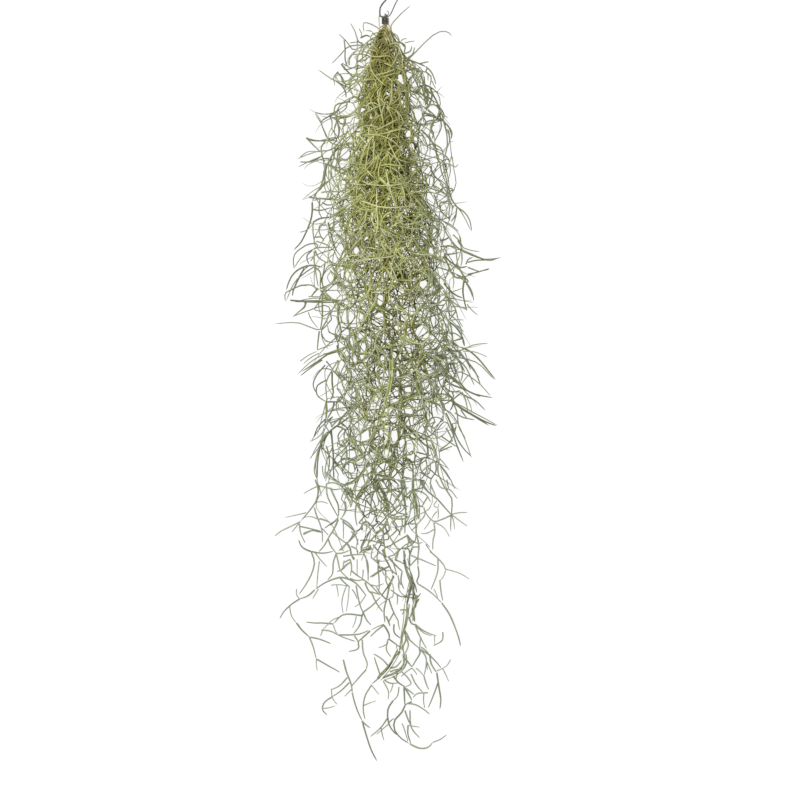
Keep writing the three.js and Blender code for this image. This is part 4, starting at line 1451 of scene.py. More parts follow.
    def _grow_leaves(self, stem: Shoot, at: int) -> None:
        """Grows leaves at one node of a stem, each clear of everything that has grown before."""
        wanted = 2 if at == len(stem.nodes) - 1 else 1
        for _ in range(LEAF_ATTEMPTS):
            if len(stem.leaves[at]) >= wanted:
                return
            leaf = Shoot(stem.lock, self._grow_leaf(stem.nodes[at]), LEAF_RADIUS, 0.0)
            tip = leaf.nodes[-1]
            reach = abs(tip.x - Outline.middle(tip.depth))
            inside = reach < Outline.half(tip.depth) + LEAF_REACH and tip.depth < LOWEST_LEAF_DEPTH
            if sum(self.thicket.clashes(leaf)) == 0 and inside:
                stem.leaves[at].append(leaf)
                self.thicket.add(leaf)


# ---- Threads: what every shoot is drawn with ----


def unit_rod(sides: int, fill: str, stations: Sequence[float]) -> bpy.types.Object:
    """Models an upright rod of unit radius and length.

    Args:
        sides: How many sides it has.
        fill: How its ends are filled.
        stations: The heights of its rings, from 0 to 1.

    Returns:
        The object, at the origin.
    """
    bpy.ops.object.select_all(action="DESELECT")
    bpy.ops.mesh.primitive_cylinder_add(
        vertices=sides, radius=1, depth=1, end_fill_type=fill, location=(0, 0, 0.5)
    )
    bpy.ops.object.transform_apply(location=True, rotation=True, scale=True)
    bpy.ops.object.mode_set(mode="EDIT")
    for station in stations[1:-1]:
        bpy.ops.mesh.select_all(action="SELECT")
        bpy.ops.mesh.bisect(plane_co=(0, 0, station), plane_no=(0, 0, 1))
    bpy.ops.mesh.select_all(action="DESELECT")
    bpy.ops.object.mode_set(mode="OBJECT")
    return bpy.context.object


def corner_places(piece: bpy.types.Object) -> Array:
    """Reads where the corners of a piece are, one row each."""
    places = np.empty(3 * len(piece.data.vertices))
    piece.data.vertices.foreach_get("co", places)
    return places.reshape(-1, 3)


@dataclass
class Blank:
    """A straight thread of unit length and radius, modelled once and bent into every shoot."""

    sides: int
    stations: Array
    pointed: bool
    across: Array = field(init=False)
    ring: Array = field(init=False)
    corners: Array = field(init=False)
    counts: Array = field(init=False)

    def __post_init__(self) -> None:
        """Models the blank and reads its mesh."""
        piece = unit_rod(self.sides, "NGON", self.stations)
        if self.pointed:
            for vertex in piece.data.vertices:
                vertex.select = vertex.co.z > 0.999
            bpy.ops.object.mode_set(mode="EDIT")
            bpy.ops.mesh.select_mode(type="VERT")
            bpy.ops.mesh.merge(type="CENTER")
            bpy.ops.object.mode_set(mode="OBJECT")
        places = corner_places(piece)
        self.across = places[:, :2]
        self.ring = np.abs(places[:, 2:] - self.stations[None]).argmin(axis=1)
        self.corners = np.empty(len(piece.data.loops), int)
        piece.data.loops.foreach_get("vertex_index", self.corners)
        self.counts = np.empty(len(piece.data.polygons), int)
        piece.data.polygons.foreach_get("loop_total", self.counts)
        bpy.data.objects.remove(piece)


class Openings:
    """The openings of the bunch, which the threads go round."""

    BOWS = (0, 3, -3, 6, -6, 9, -9, 12, -12)  # how far a thread may be bowed aside
    REACH = 1.55  # threads are moved out to this share of an opening's half size
    FREE = 0.95  # share of it past which a thread is free of the opening
    TORN = 2.2  # a step stretched to this many times its length, and some more, tears the thread
    TORN_MORE = 1.5
    GROWN = 1.15
    SHRINKS_ABOVE = 0.35  # how much smaller one may be drawn, above CLEAR_OPENINGS and below
    SHRINKS_BELOW = 1.1
    SHIFTS = 0.7
    SHADE_REACH = 2.1
    SHADE_RIM = 0.6

    def __init__(self, lock: int) -> None:
        """Places the openings, each a little off its place and size, as one lock leaves them."""
        draws = Draws(OPENINGS_SEED + lock)
        drawn = np.array([[draws.one() for _ in range(3)] for _ in OPENINGS])
        above = OPENINGS[:, 1:2] < CLEAR_OPENINGS
        loose = np.where(above, self.SHRINKS_ABOVE, self.SHRINKS_BELOW)
        self.halves = OPENINGS[:, 2:] * (self.GROWN - loose * drawn[:, :1] ** 2)
        off = self.SHIFTS * (drawn[:, 1:] - 0.5) * OPENINGS[:, 2:]
        self.middles = OPENINGS[:, :2] * (1, -1) + np.array(FIELD_CORNER) + off
        self.pockets = POCKETS[:, :2] * (1, -1) + np.array(FIELD_CORNER)
        self.depth = FLOOR_SHADE if lock < POCKET_FLOOR else WALL_SHADE
        if lock >= POCKET_FLOOR:
            self.middles = np.vstack([self.middles, self.pockets])
            self.halves = np.vstack([self.halves, POCKETS[:, 2:]])

    def shade(self, line: Array) -> Array:
        """How much painted shade a line gets along its way, where it lies in or beside the dark
        pockets.
        """
        off = (line[None, :, :2] - self.pockets[:, None]) / (POCKETS[:, None, 2:] + self.SHADE_RIM)
        away = np.hypot(off[..., 0], off[..., 1]).min(axis=0)
        return self.depth * np.clip(self.SHADE_REACH - away, 0, 1)

    def _part(self, line: Array) -> tuple[Array, bool]:
        """Moves each point of a line out of the opening that it is nearest to.

        Args:
            line: The middle line of a thread. An end of it that is in no opening stays.

        Returns:
            The moved line, and whether the line was in no opening as it was.
        """
        off = (line[None, :, :2] - self.middles[:, None]) / self.halves[:, None]
        away = np.hypot(off[..., 0], off[..., 1])
        nearest, at = away.argmin(axis=0), np.arange(len(line))
        off, away = off[nearest, at], np.maximum(away[nearest, at], 0.02)
        wanted = 1 + away * (self.REACH - 1) / self.REACH
        scale = np.where(away < self.REACH, wanted / away, 1.0)[:, None]
        moved = line.copy()
        moved[:, :2] = self.middles[nearest] + off * scale * self.halves[nearest]
        place = np.linspace(0, 1, len(line))
        share = np.minimum(4 * place + (away[0] < 1), 4 * (1 - place) + (away[-1] < 1))
        return line + np.clip(share, 0, 1)[:, None] * (moved - line), bool(away.min() >= self.FREE)

    def clear(self, line: Array) -> Optional[Array]:
        """Leads a thread round the openings in its way.

        Args:
            line: Its middle line.

        Returns:
            The line that it takes, or nothing where it can't go round.
        """
        way = line[-1] - line[0]
        across = np.array([way[1], -way[0], 0.0]) / (math.hypot(way[0], way[1]) + 1e-9)
        bulge = np.sin(np.pi * np.linspace(0, 1, len(line)))[:, None] * across
        steps = np.linalg.norm(np.diff(line, axis=0), axis=1)
        ways = [line + bow * bulge for bow in self.BOWS]
        parted = [self._part(bowed) for bowed in ways]
        for bowed, (_, free) in zip(ways, parted):
            if free:
                return bowed
        for moved, _ in parted:
            taken = np.linalg.norm(np.diff(moved, axis=0), axis=1)
            if np.all(taken < self.TORN * steps + self.TORN_MORE):
                return moved
        return None


@dataclass
class Thread:
    """One thread: its middle line and radius at the blank's stations, and how it is coloured."""

    line: Array
    radii: Array
    tone: float
    olive: Array
    bark: Array
    inner: Array


def smooth_line(points: Array, places: Array) -> Array:
    """Reads a smooth curve through points.

    Args:
        points: The points, one row each.
        places: Where to read it, counted in points from the first.

    Returns:
        One row for each place.
    """
    last = len(points) - 1
    padded = np.vstack([2 * points[0] - points[1], points, 2 * points[-1] - points[-2]])
    gaps = np.sqrt(np.linalg.norm(np.diff(padded, axis=0), axis=1)) + 1e-6
    knots = np.concatenate([[0], np.cumsum(gaps)])
    start = np.clip(places.astype(int), 0, last - 1)
    four = [padded[start + step] for step in range(4)]
    k = [knots[start + step][:, None] for step in range(4)]
    place = k[1] + (places - start)[:, None] * (k[2] - k[1])

    def between(first: Array, second: Array, low: Array, high: Array) -> Array:
        """Reads the straight line from first at low to second at high."""
        return ((high - place) * first + (place - low) * second) / (high - low)

    one, two, three = (between(four[i], four[i + 1], k[i], k[i + 1]) for i in range(3))
    left, right = between(one, two, k[0], k[2]), between(two, three, k[1], k[3])
    return between(left, right, k[1], k[2])


class Loom:
    """Collects the threads of one piece and weaves them into its mesh."""

    def __init__(self, blanks: dict["Kind", Blank]) -> None:
        """Starts empty with the blanks that it bends."""
        self.blanks = blanks
        self.threads: dict[Kind, list[Thread]] = {kind: [] for kind in blanks}

    def add(self, kind: "Kind", thread: Thread) -> None:
        """Adds a thread."""
        self.threads[kind].append(thread)

    def _bend(self, kind: "Kind") -> dict[str, Array]:
        """Bends one kind of blank along all its threads."""
        blank, threads = self.blanks[kind], self.threads[kind]

        def stacked(name: str) -> Array:
            """Stacks one field of all the threads."""
            return np.stack([getattr(thread, name) for thread in threads])

        lines, radii = stacked("line"), stacked("radii")
        tangents = np.gradient(lines, axis=1)
        tangents /= np.linalg.norm(tangents, axis=2, keepdims=True) + 1e-9
        sides = np.cross(np.array([0.0, 0.0, 1.0]), tangents)
        sides /= np.linalg.norm(sides, axis=2, keepdims=True) + 1e-9
        ups = np.cross(tangents, sides)
        ring, across = blank.ring, blank.across
        places = lines[:, ring] + radii[:, ring, None] * (
            across[None, :, :1] * sides[:, ring] + across[None, :, 1:] * ups[:, ring]
        )
        size = len(ring)
        offsets = size * np.arange(len(threads))[:, None]
        stations = blank.stations[ring]
        return {
            "places": places.reshape(-1, 3),
            "corners": (blank.corners[None] + offsets).ravel(),
            "counts": np.tile(blank.counts, len(threads)),
            "tone": np.repeat([thread.tone for thread in threads], size),
            "reach": np.tile(stations, len(threads)) * (1.0 if blank.pointed else 0.0),
            **{name: stacked(name)[:, ring].ravel() for name in ("olive", "bark", "inner")},
        }

    def weave(self, name: str) -> bpy.types.Object:
        """Weaves all the threads into one object.

        Args:
            name: The name of the object.

        Returns:
            The object, in metres, at the origin.
        """
        parts = [self._bend(kind) for kind in self.blanks if self.threads[kind]]
        shift = 0
        for part in parts:
            part["corners"] = part["corners"] + shift
            shift += len(part["places"])
        whole = {key: np.concatenate([part[key] for part in parts]) for key in parts[0]}
        mesh = bpy.data.meshes.new(name)
        mesh.vertices.add(len(whole["places"]))
        mesh.vertices.foreach_set("co", (whole["places"] * MM).ravel())
        mesh.loops.add(len(whole["corners"]))
        mesh.loops.foreach_set("vertex_index", whole["corners"])
        mesh.polygons.add(len(whole["counts"]))
        starts = np.concatenate([[0], np.cumsum(whole["counts"])[:-1]])
        mesh.polygons.foreach_set("loop_start", starts)
        mesh.update(calc_edges=True)
        for key in ("tone", "reach", "olive", "bark", "inner"):
            mesh.attributes.new(key, "FLOAT", "POINT").data.foreach_set("value", whole[key])
        mesh.shade_smooth()
        mesh.validate()
        piece = bpy.data.objects.new(name, mesh)
        bpy.context.scene.collection.objects.link(piece)
        return piece


class Kind(Enum):
    """The kinds of thread."""

    STEM = "stem"
    LEAF = "leaf"


# Places along a thread that have a ring of corners, and the share of its radius that it has there.
STEM_STATIONS = np.array((0.0, 0.04, 0.1, 0.2, 0.36, 0.52, 0.68, 0.84, 1.0))
LEAF_STATIONS = np.array((0.0, 0.07, 0.16, 0.28, 0.4, 0.52, 0.64, 0.75, 0.85, 0.93, 1.0))
STEM_SHEATH = np.interp(STEM_STATIONS, (0, 0.04, 0.1, 0.2, 0.5, 1), (1, 1.28, 1.18, 1.02, 0.95, 1))
ARC_TAPER = np.interp(LEAF_STATIONS, (0, 0.1, 0.5, 0.85, 1), (1, 1.08, 1, 0.8, 0.55))
LEAF_TAPER = np.interp(
    LEAF_STATIONS, (0, 0.07, 0.3, 0.7, 0.93, 1), (1.3, 1.18, 1, 0.66, 0.34, 0.14)
)
# The threads are finer than the rods of the solids.
STEM_FINENESS = 0.78
LEAF_FINENESS = 0.56
STRAY_RADIUS = 0.62
STRAY_TONE = 0.3


# ---- Finer growth, to the density of the real bunch ----


@dataclass
class Tip:
    """Where a growing strand has come to."""

    x: float
    depth: float
    z: float
    heading: float
    bend: float = 0.0
    turn: int = 1


Table = tuple[tuple[float, ...], tuple[float, ...]]


@dataclass(frozen=True)
class GrowthRule:
    """How one kind of finer strand grows between the main ones."""

    strands: int
    reach: float
    roots: Optional[Span]
    width: Table
    reached: Table
    internode: Span
    kink: Span
    bow: Span
    swing: Span
    pace: Span
    stem_radius: Span
    leaves: Span
    leaf_length: Span
    leaf_spread: Span
    leaf_curl: Span
    leaf_lift: Span
    leaf_radius: Span


CORE_RULE = GrowthRule(
    strands=9,
    reach=0.85,
    roots=None,
    width=((0, 30, 60, 110, 180, 250, 400), (0.5, 0.42, 0.45, 0.55, 0.65, 0.8, 1.0)),
    reached=((0.0, 0.25, 0.6, 0.85, 1.0), (110, 190, 280, 380, 460)),
    internode=Span(18, 32),
    kink=Span(0.05, 0.6),
    bow=Span(0.3, 1.6),
    swing=Span(0.05, 0.24),
    pace=Span(26, 60),
    stem_radius=Span(0.5, 0.72),
    leaves=Span(1.2, 3.4),
    leaf_length=Span(20, 44),
    leaf_spread=Span(0.1, 1.1),
    leaf_curl=Span(0.3, 1.9),
    leaf_lift=Span(-5, 8),
    leaf_radius=Span(0.4, 0.56),
)

NET_RULE = GrowthRule(
    strands=5,
    reach=0.8,
    roots=Span(40, 440),
    width=((0, 460, 540), (1.0, 1.0, 0.6)),
    reached=((0.0, 0.25, 0.5, 0.8, 1.0), (180, 290, 390, 475, 560)),
    internode=Span(18, 30),
    kink=Span(0.1, 0.55),
    bow=Span(0.3, 1.5),
    swing=Span(0.06, 0.3),
    pace=Span(24, 60),
    stem_radius=Span(0.58, 0.76),
    leaves=Span(1.2, 3.2),
    leaf_length=Span(16, 34),
    leaf_spread=Span(0.2, 1.3),
    leaf_curl=Span(0.4, 2.2),
    leaf_lift=Span(-7, 9),
    leaf_radius=Span(0.46, 0.6),
)

# How many of the finer leaves grow at a depth.
LEAF_FULLNESS = (
    (0, 50, 100, 130, 225, 250, 275, 290, 305, 325, 380, 405, 460),
    (0.3, 0.5, 0.75, 1, 1, 0.92, 0.68, 0.62, 0.72, 1.2, 1.25, 0.84, 0.66),
)
# To the sides of the upper crown, where the placed threads stand, only a share of them grows:
# between two depths, to the left of one place in plan and to the right of another.
BARE_FULLNESS = 0.25
BARE_TOP = 26.0
BARE_FOOT = 118.0
BARE_LEFT = -22.0
BARE_RIGHT = 11.0

# The finer strands.
CORE_ROOT_DEPTH = Span(1, 13)
CORE_ROOT_SCATTER = 5
LOWEST_HEIGHT = 0.8
SHORTEST_FINE_STRAND = 60
ROOM_FOR_LAST_LEAVES = 12
CROWDED_FINE_INTERNODE = 0.75
STEEPEST_AIM = 1.1
LEVEL_STEP = 0.8
LEVELS_BELOW = 0.4
LEVELS_ABOVE = 1.4
BULGE = 2.5
BULGE_LEAN = 0.4
THINNING = 0.98
THINNING_DRAWN = 0.02
LEAST_THINNED = 0.85

# The finer leaves.
SAME_WAY_LEAVES = 0.7
BACKWARD_CURL = -0.6
HOOK = 0.8
HOOK_LEAN = 0.4
SHORTEST_FINE_LEAF = 8.0
FULL_LIFT_THICKNESS = 30


def arc(start: Array, heading: float, bend: float, hook: float, length: float, rise: float,
        stations: Array) -> Array:
    """Draws a level arc that rises evenly.

    Args:
        start: Its first point.
        heading: The angle it starts at, from straight down the bunch towards +X.
        bend: How far it turns in all.
        hook: How much further it turns toward its end.
        length: Its length in plan.
        rise: How much higher it ends.
        stations: Where to read it, from 0 to 1.

    Returns:
        One point for each station.
    """
    fine = np.linspace(0, 1, 25)
    mid = (fine[1:] + fine[:-1]) / 2
    turned = heading + bend * mid + hook * mid**3
    step = length / len(mid)
    x = np.concatenate([[0], np.cumsum(step * np.sin(turned))])
    y = np.concatenate([[0], np.cumsum(-step * np.cos(turned))])
    line = np.stack([x, y, rise * fine], axis=1)
    read = np.stack([np.interp(stations, fine, line[:, axis]) for axis in range(3)], axis=1)
    return start[None] + read


class Threads:
    """Turns shoots into threads and hands them to the looms of their locks."""

    def __init__(self, looms: list[Loom], draws: Draws) -> None:
        """Keeps the looms."""
        self.looms = looms
        self.draws = draws
        self.joints: list[list[Array]] = [[] for _ in looms]
        self.openings = [Openings(lock) for lock in range(LOCKS)]

    @staticmethod
    def gathered(line: Array) -> Array:
        """Draws a line in to the gathered width and height of the neck."""
        depth = TIE_LOW_Y - line[:, 1]
        depths, *sides = NECK_SIDES.T
        left, right, below, above = (np.interp(depth, depths, side) for side in sides)
        drawn_in = line.copy()
        for axis, middle, less, more in ((0, NECK_X, left, right), (2, NECK_Z, below, above)):
            off = line[:, axis] - middle
            past = np.abs(off) / np.where(off < 0, less, more)
            drawn_in[:, axis] = middle + off / (1 + past**GATHER_POWER) ** (1 / GATHER_POWER)
        return drawn_in

    @staticmethod
    def across(line: Array) -> Array:
        """How far to the side a thread is along its line, 1 at the bunch's own edge."""
        depth = TIE_LOW_Y - line[:, 1]
        half = np.interp(depth, PLAN[:, 0], PLAN[:, 1]) + EDGE_REACH
        return np.abs(line[:, 0] - np.interp(depth, PLAN[:, 0], PLAN[:, 2])) / half

    def olive(self, line: Array, lift: float) -> Array:
        """How olive a thread is along its line: most in the upper middle, partly as painted light."""
        down = np.interp(TIE_LOW_Y - line[:, 1], *OLIVE)
        fade = np.where(line[:, 0] < NECK_X, OLIVE_FADE_LEFT, OLIVE_FADE_RIGHT)
        return np.clip(down * np.exp(-fade * self.across(line) ** 2) + lift, 0, 1)

    def inner(self, line: Array) -> Array:
        """How deep a thread lies under the crown of the bunch, which darkens it as painted shade."""
        depth = TIE_LOW_Y - line[:, 1]
        across = np.minimum(1, self.across(line))
        crown = np.interp(depth, PROFILE[:, 0], PROFILE[:, 2])
        dome = 0.5 + 0.5 * np.cos(np.pi * across**DOME_POWER)
        under = np.maximum(LOCKS * THINNEST_LAYER, crown * dome) - line[:, 2]
        return np.clip((under - INNER_FROM) / INNER_ROOM, 0, 1) * np.clip(INNER_SIDE - across, 0, 1)

    def add(
        self, lock: int, kind: Kind, line: Array, radii: Array, tone: Optional[float] = None,
        placed: bool = False, greener: float = 0.0,
    ) -> None:
        """Adds a thread to a lock, round the openings if it isn't placed one by one.

        Args:
            lock: The lock.
            kind: The kind of thread.
            line: Its middle line.
            radii: Its radius along the line.
            tone: How pale it is, from 0 to 1, or nothing for a drawn tone.
            placed: Whether its place is its own.
            greener: How much more olive it is than the threads about it.
        """
        if kind is Kind.STEM:
            self.joints[lock].append(line[-1])
        line = line.copy() if placed else self.openings[lock].clear(self.gathered(line))
        if line is None:
            return
        line[:, 2] = np.maximum(line[:, 2], radii + FLOOR_CLEARANCE)
        fade = np.exp(-BARK_FADE * self.across(line) ** 2)
        bark = np.interp(TIE_LOW_Y - line[:, 1], *BARK) * fade
        bark *= 1 if kind is Kind.STEM else LEAF_BARK
        share = self.draws.one()
        lift = OLIVE_SPREAD * (share - OLIVE_LEAN)
        if not placed and math.modf(OLD_THREADS_PACE * share)[0] < OLD_THREADS:
            bark = np.maximum(bark, OLD_BARK)
        drawn = self.draws.one()
        tone = drawn if tone is None else TONE_HELD * tone + TONE_DRAWN * drawn
        # Painted shade: deep under the crown, and in or beside the dark pockets.
        inner = self.inner(line)
        if not placed:
            inner = np.maximum(inner, self.openings[lock].shade(line))
        olive = (PLACED_OLIVE if placed else 1.0) * self.olive(line, lift + greener)
        self.looms[lock].add(kind, Thread(line, radii, tone, olive, bark, inner))

    def add_stem(self, stem: Shoot) -> None:
        """Adds the internodes of a main strand, smoothly joined, and its leaves.

        Below a depth, the trails and leaves are the ones that are placed one by one.

        Args:
            stem: The strand.
        """
        trail = stem.root_radius == TRAIL_RADIUS
        for at in range(len(stem.points) - 1):
            if trail and stem.nodes[at].depth > PLACED_TAIL_DEPTH:
                break
            line = smooth_line(stem.points, at + STEM_STATIONS)
            radii = np.interp(at + STEM_STATIONS, np.arange(len(stem.radii)), stem.radii)
            self.add(stem.lock, Kind.STEM, line, STEM_FINENESS * radii * STEM_SHEATH)
        for node, leaves in zip(stem.nodes, stem.leaves):
            if node.depth < PLACED_TAIL_DEPTH:
                for leaf in leaves:
                    self.add_leaf(leaf)

    def add_leaf(self, leaf: Shoot) -> None:
        """Adds a leaf of a main strand."""
        line = smooth_line(leaf.points, LEAF_STATIONS * (len(leaf.points) - 1))
        if leaf.stray:
            self.add(leaf.lock, Kind.LEAF, line, STRAY_RADIUS * ARC_TAPER, STRAY_TONE, placed=True)
        else:
            self.add(leaf.lock, Kind.LEAF, line, LEAF_FINENESS * LEAF_TAPER)

    def add_arc(self, lock: int, route: Route, lift: float, tone: float) -> None:
        """Adds a listed arc that lies on the crown of the bunch, bowed up by a lift."""
        heights = [Outline.level(LOCKS, x, TIE_LOW_Y - y) for x, y in route]
        line = smooth_line(np.column_stack([route, heights]), LEAF_STATIONS * (len(route) - 1))
        line[:, 2] += lift * np.sin(np.pi * LEAF_STATIONS) ** ARC_BELLY - ARC_SINK
        self.add(lock, Kind.LEAF, line, ARC_RADIUS * ARC_TAPER, tone, placed=True)

    @staticmethod
    def _laid(route: Route, layer: Optional[float] = None) -> Array:
        """Lays a listed route on the bunch.

        Args:
            route: Its points, from the corner of the camera's field.
            layer: The level that it has in the bunch's body, or nothing for that of the crown.

        Returns:
            Its points in the scene.
        """
        x, y = FIELD_CORNER[0] + route[:, 0], FIELD_CORNER[1] - route[:, 1]
        depth = TIE_LOW_Y - y
        wave = TAIL_WAVE * np.sin(x / TAIL_WAVE_ACROSS) * np.cos(y / TAIL_WAVE_ALONG)
        levels = LOCKS * (np.interp(depth, *TAIL_SINKS) + wave)
        if layer is not None:
            tail = np.interp(depth, TAIL_STARTS, (0, 1))
            levels = (1 - tail) * layer + tail * levels
        heights = [Outline.level(level, *place) for level, *place in zip(levels, x, depth)]
        return np.column_stack([x, y, heights])

    def add_placed(self, lock: int, route: Route, radius: float, tone: float) -> None:
        """Adds a thread of the tail along a listed route.

        All the threads of a place are at one height there, so that they meet where they cross.

        Args:
            lock: The lock that it belongs to.
            route: Its points, from the corner of the camera's field.
            radius: Its greatest radius.
            tone: How pale it is, from 0 to 1.
        """
        points = self._laid(route)
        line = smooth_line(points, LEAF_STATIONS * (len(points) - 1))
        way = points[-1] - points[0]
        bow = np.sin(np.pi * LEAF_STATIONS)[:, None]
        sideways = np.array([way[1], -way[0], 0.0]) * PLACED_SIDE_BOW * (self.draws.one() - 0.5)
        line += bow * (sideways if len(route) < LONG_ROUTE else 0.0)
        reach = float(np.linalg.norm(way))
        line[:, 2] += bow[:, 0] * PLACED_RISE * reach * (2 * self.draws.one() - 0.5)
        self.add(lock, Kind.LEAF, line, radius * ARC_TAPER, tone, placed=True)

    def add_bundle(self, lock: int, route: Route) -> None:
        """Adds strands that twist round a listed route."""
        middle = smooth_line(self._laid(route, lock + 0.5), LEAF_STATIONS * (len(route) - 1))
        along = np.gradient(middle, axis=0)
        across = np.column_stack([along[:, 1], -along[:, 0], np.zeros(len(along))])
        across /= np.linalg.norm(across, axis=1, keepdims=True)
        for _ in range(BUNDLE_STRANDS):
            phase, turns = 2 * math.pi * self.draws.one(), self.draws.within(BUNDLE_TURNS)
            angle = phase + 2 * np.pi * turns * LEAF_STATIONS
            spread = BUNDLE_SPREAD * (0.5 + self.draws.one())
            line = middle + spread * np.sin(angle)[:, None] * across
            line[:, 2] += spread * np.cos(angle)
            radii = BUNDLE_RADIUS * ARC_TAPER
            self.add(lock, Kind.LEAF, line, radii, BUNDLE_TONE, placed=True, greener=BUNDLE_GREENER)


class FineGrowth:
    """Finer strands and leaves that fill each lock to the density of the real bunch."""

    def __init__(self, threads: Threads, draws: Draws) -> None:
        """Keeps where the threads go."""
        self.threads = threads
        self.draws = draws

    @staticmethod
    def _height(level: float, x: float, depth: float) -> float:
        """Height of a level that may lie between two layers."""
        return max(LOWEST_HEIGHT, Outline.level(min(LOCKS, max(0.0, level)), x, depth))

    def grow_lock(self, lock: int, rule: GrowthRule) -> None:
        """Grows the finer strands of one kind in one lock."""
        draws = self.draws
        for strand in range(rule.strands):
            side = rule.reach * (2 * (strand + draws.one()) / rule.strands - 1)
            swing, pace = draws.within(rule.swing), draws.within(rule.pace)
            column = Column(side, swing, pace, 2 * math.pi * draws.one())
            level = lock + draws.one()
            last = float(np.interp(draws.one(), *rule.reached))
            if rule.roots is None:
                depth = draws.within(CORE_ROOT_DEPTH)
                x = NECK_X + CORE_ROOT_SCATTER * (draws.one() - 0.5)
                z = self._height(level, x, depth)
            else:
                wanted = draws.within(rule.roots)
                last = max(last, wanted + SHORTEST_FINE_STRAND)
                x, depth, z = self._root(lock, column.x(wanted), wanted)
            tip = Tip(x, depth, z, 0.0, 0.0, draws.side())
            last = min(last, LOWEST_LEAF_DEPTH - ROOM_FOR_LAST_LEAVES)
            self._grow_strand(lock, rule, column, level, tip, last)

    def _root(self, lock: int, x: float, depth: float) -> tuple[float, float, float]:
        """The joint of a lock that is nearest to a place in plan."""
        joints = np.array(self.threads.joints[lock])
        away = np.hypot(joints[:, 0] - x, TIE_LOW_Y - joints[:, 1] - depth)
        joint = joints[away.argmin()]
        return float(joint[0]), float(TIE_LOW_Y - joint[1]), float(joint[2])

    def _grow_strand(
        self, lock: int, rule: GrowthRule, column: Column, level: float, tip: Tip, last: float
    ) -> None:
        """Grows one strand down its column."""
        draws = self.draws
        radius = draws.within(rule.stem_radius)
        while tip.depth < last:
            length = draws.within(rule.internode)
            length *= CROWDED_FINE_INTERNODE if tip.depth < CROWDED_DEPTH else 1
            ahead = tip.depth + length
            share = float(np.interp(ahead, *rule.width))
            middle = Outline.middle(ahead)
            aim = math.atan2(middle + share * (column.x(ahead) - middle) - tip.x, length)
            aim = max(-STEEPEST_AIM, min(STEEPEST_AIM, aim))
            bend = -tip.turn * draws.within(rule.bow)
            heading = aim + tip.turn * draws.within(rule.kink) - bend / 2
            level = max(lock - LEVELS_BELOW, level + LEVEL_STEP * (draws.one() - 0.5))
            level = min(lock + LEVELS_ABOVE, level)
            start = np.array([tip.x, TIE_LOW_Y - tip.depth, tip.z])
            line = arc(start, heading, bend, 0.0, length, 0.0, STEM_STATIONS)
            end_x, end_depth = float(line[-1, 0]), TIE_LOW_Y - float(line[-1, 1])
            end_z = self._height(level, end_x, end_depth)
            bulge = BULGE * (draws.one() - BULGE_LEAN) * np.sin(np.pi * STEM_STATIONS)
            line[:, 2] += (end_z - tip.z) * STEM_STATIONS + bulge
            self.threads.add(lock, Kind.STEM, line, radius * STEM_SHEATH)
            turn = -tip.turn if draws.one() < TURN_ABOUT else tip.turn
            tip = Tip(end_x, end_depth, end_z, heading + bend, bend, turn)
            radius *= THINNING + THINNING_DRAWN * draws.one()
            radius = max(rule.stem_radius.least * LEAST_THINNED, radius)
            self._grow_leaves(lock, rule, tip)

    def _grow_leaves(self, lock: int, rule: GrowthRule, tip: Tip) -> None:
        """Grows the leaves of one node: the first goes on the way that the strand came."""
        draws = self.draws
        side = 1 if tip.bend > 0 else -1
        start = np.array([tip.x, TIE_LOW_Y - tip.depth, tip.z])
        fullness = float(np.interp(tip.depth, *LEAF_FULLNESS))
        if BARE_TOP < tip.depth < BARE_FOOT and not BARE_LEFT < tip.x < BARE_RIGHT:
            fullness *= BARE_FULLNESS
        for number in range(int(fullness * draws.within(rule.leaves))):
            way = side if number % 2 == 0 else -side
            heading = tip.heading + way * draws.within(rule.leaf_spread)
            bend = way * draws.within(rule.leaf_curl)
            bend *= 1 if draws.one() < SAME_WAY_LEAVES else BACKWARD_CURL
            hook = HOOK * (draws.one() - HOOK_LEAN) * way
            room = max(SHORTEST_FINE_LEAF, LOWEST_LEAF_DEPTH - tip.depth)
            length = min(draws.within(rule.leaf_length), room)
            thickness = Outline.thickness(tip.x, tip.depth)
            rise = draws.within(rule.leaf_lift) * min(1.0, thickness / FULL_LIFT_THICKNESS)
            line = arc(start, heading, bend, hook, length, rise, LEAF_STATIONS)
            radius = draws.within(rule.leaf_radius)
            if self.threads.across(line)[-1] < rule.reach:
                self.threads.add(lock, Kind.LEAF, line, radius * LEAF_TAPER)


# ---- The tied neck ----


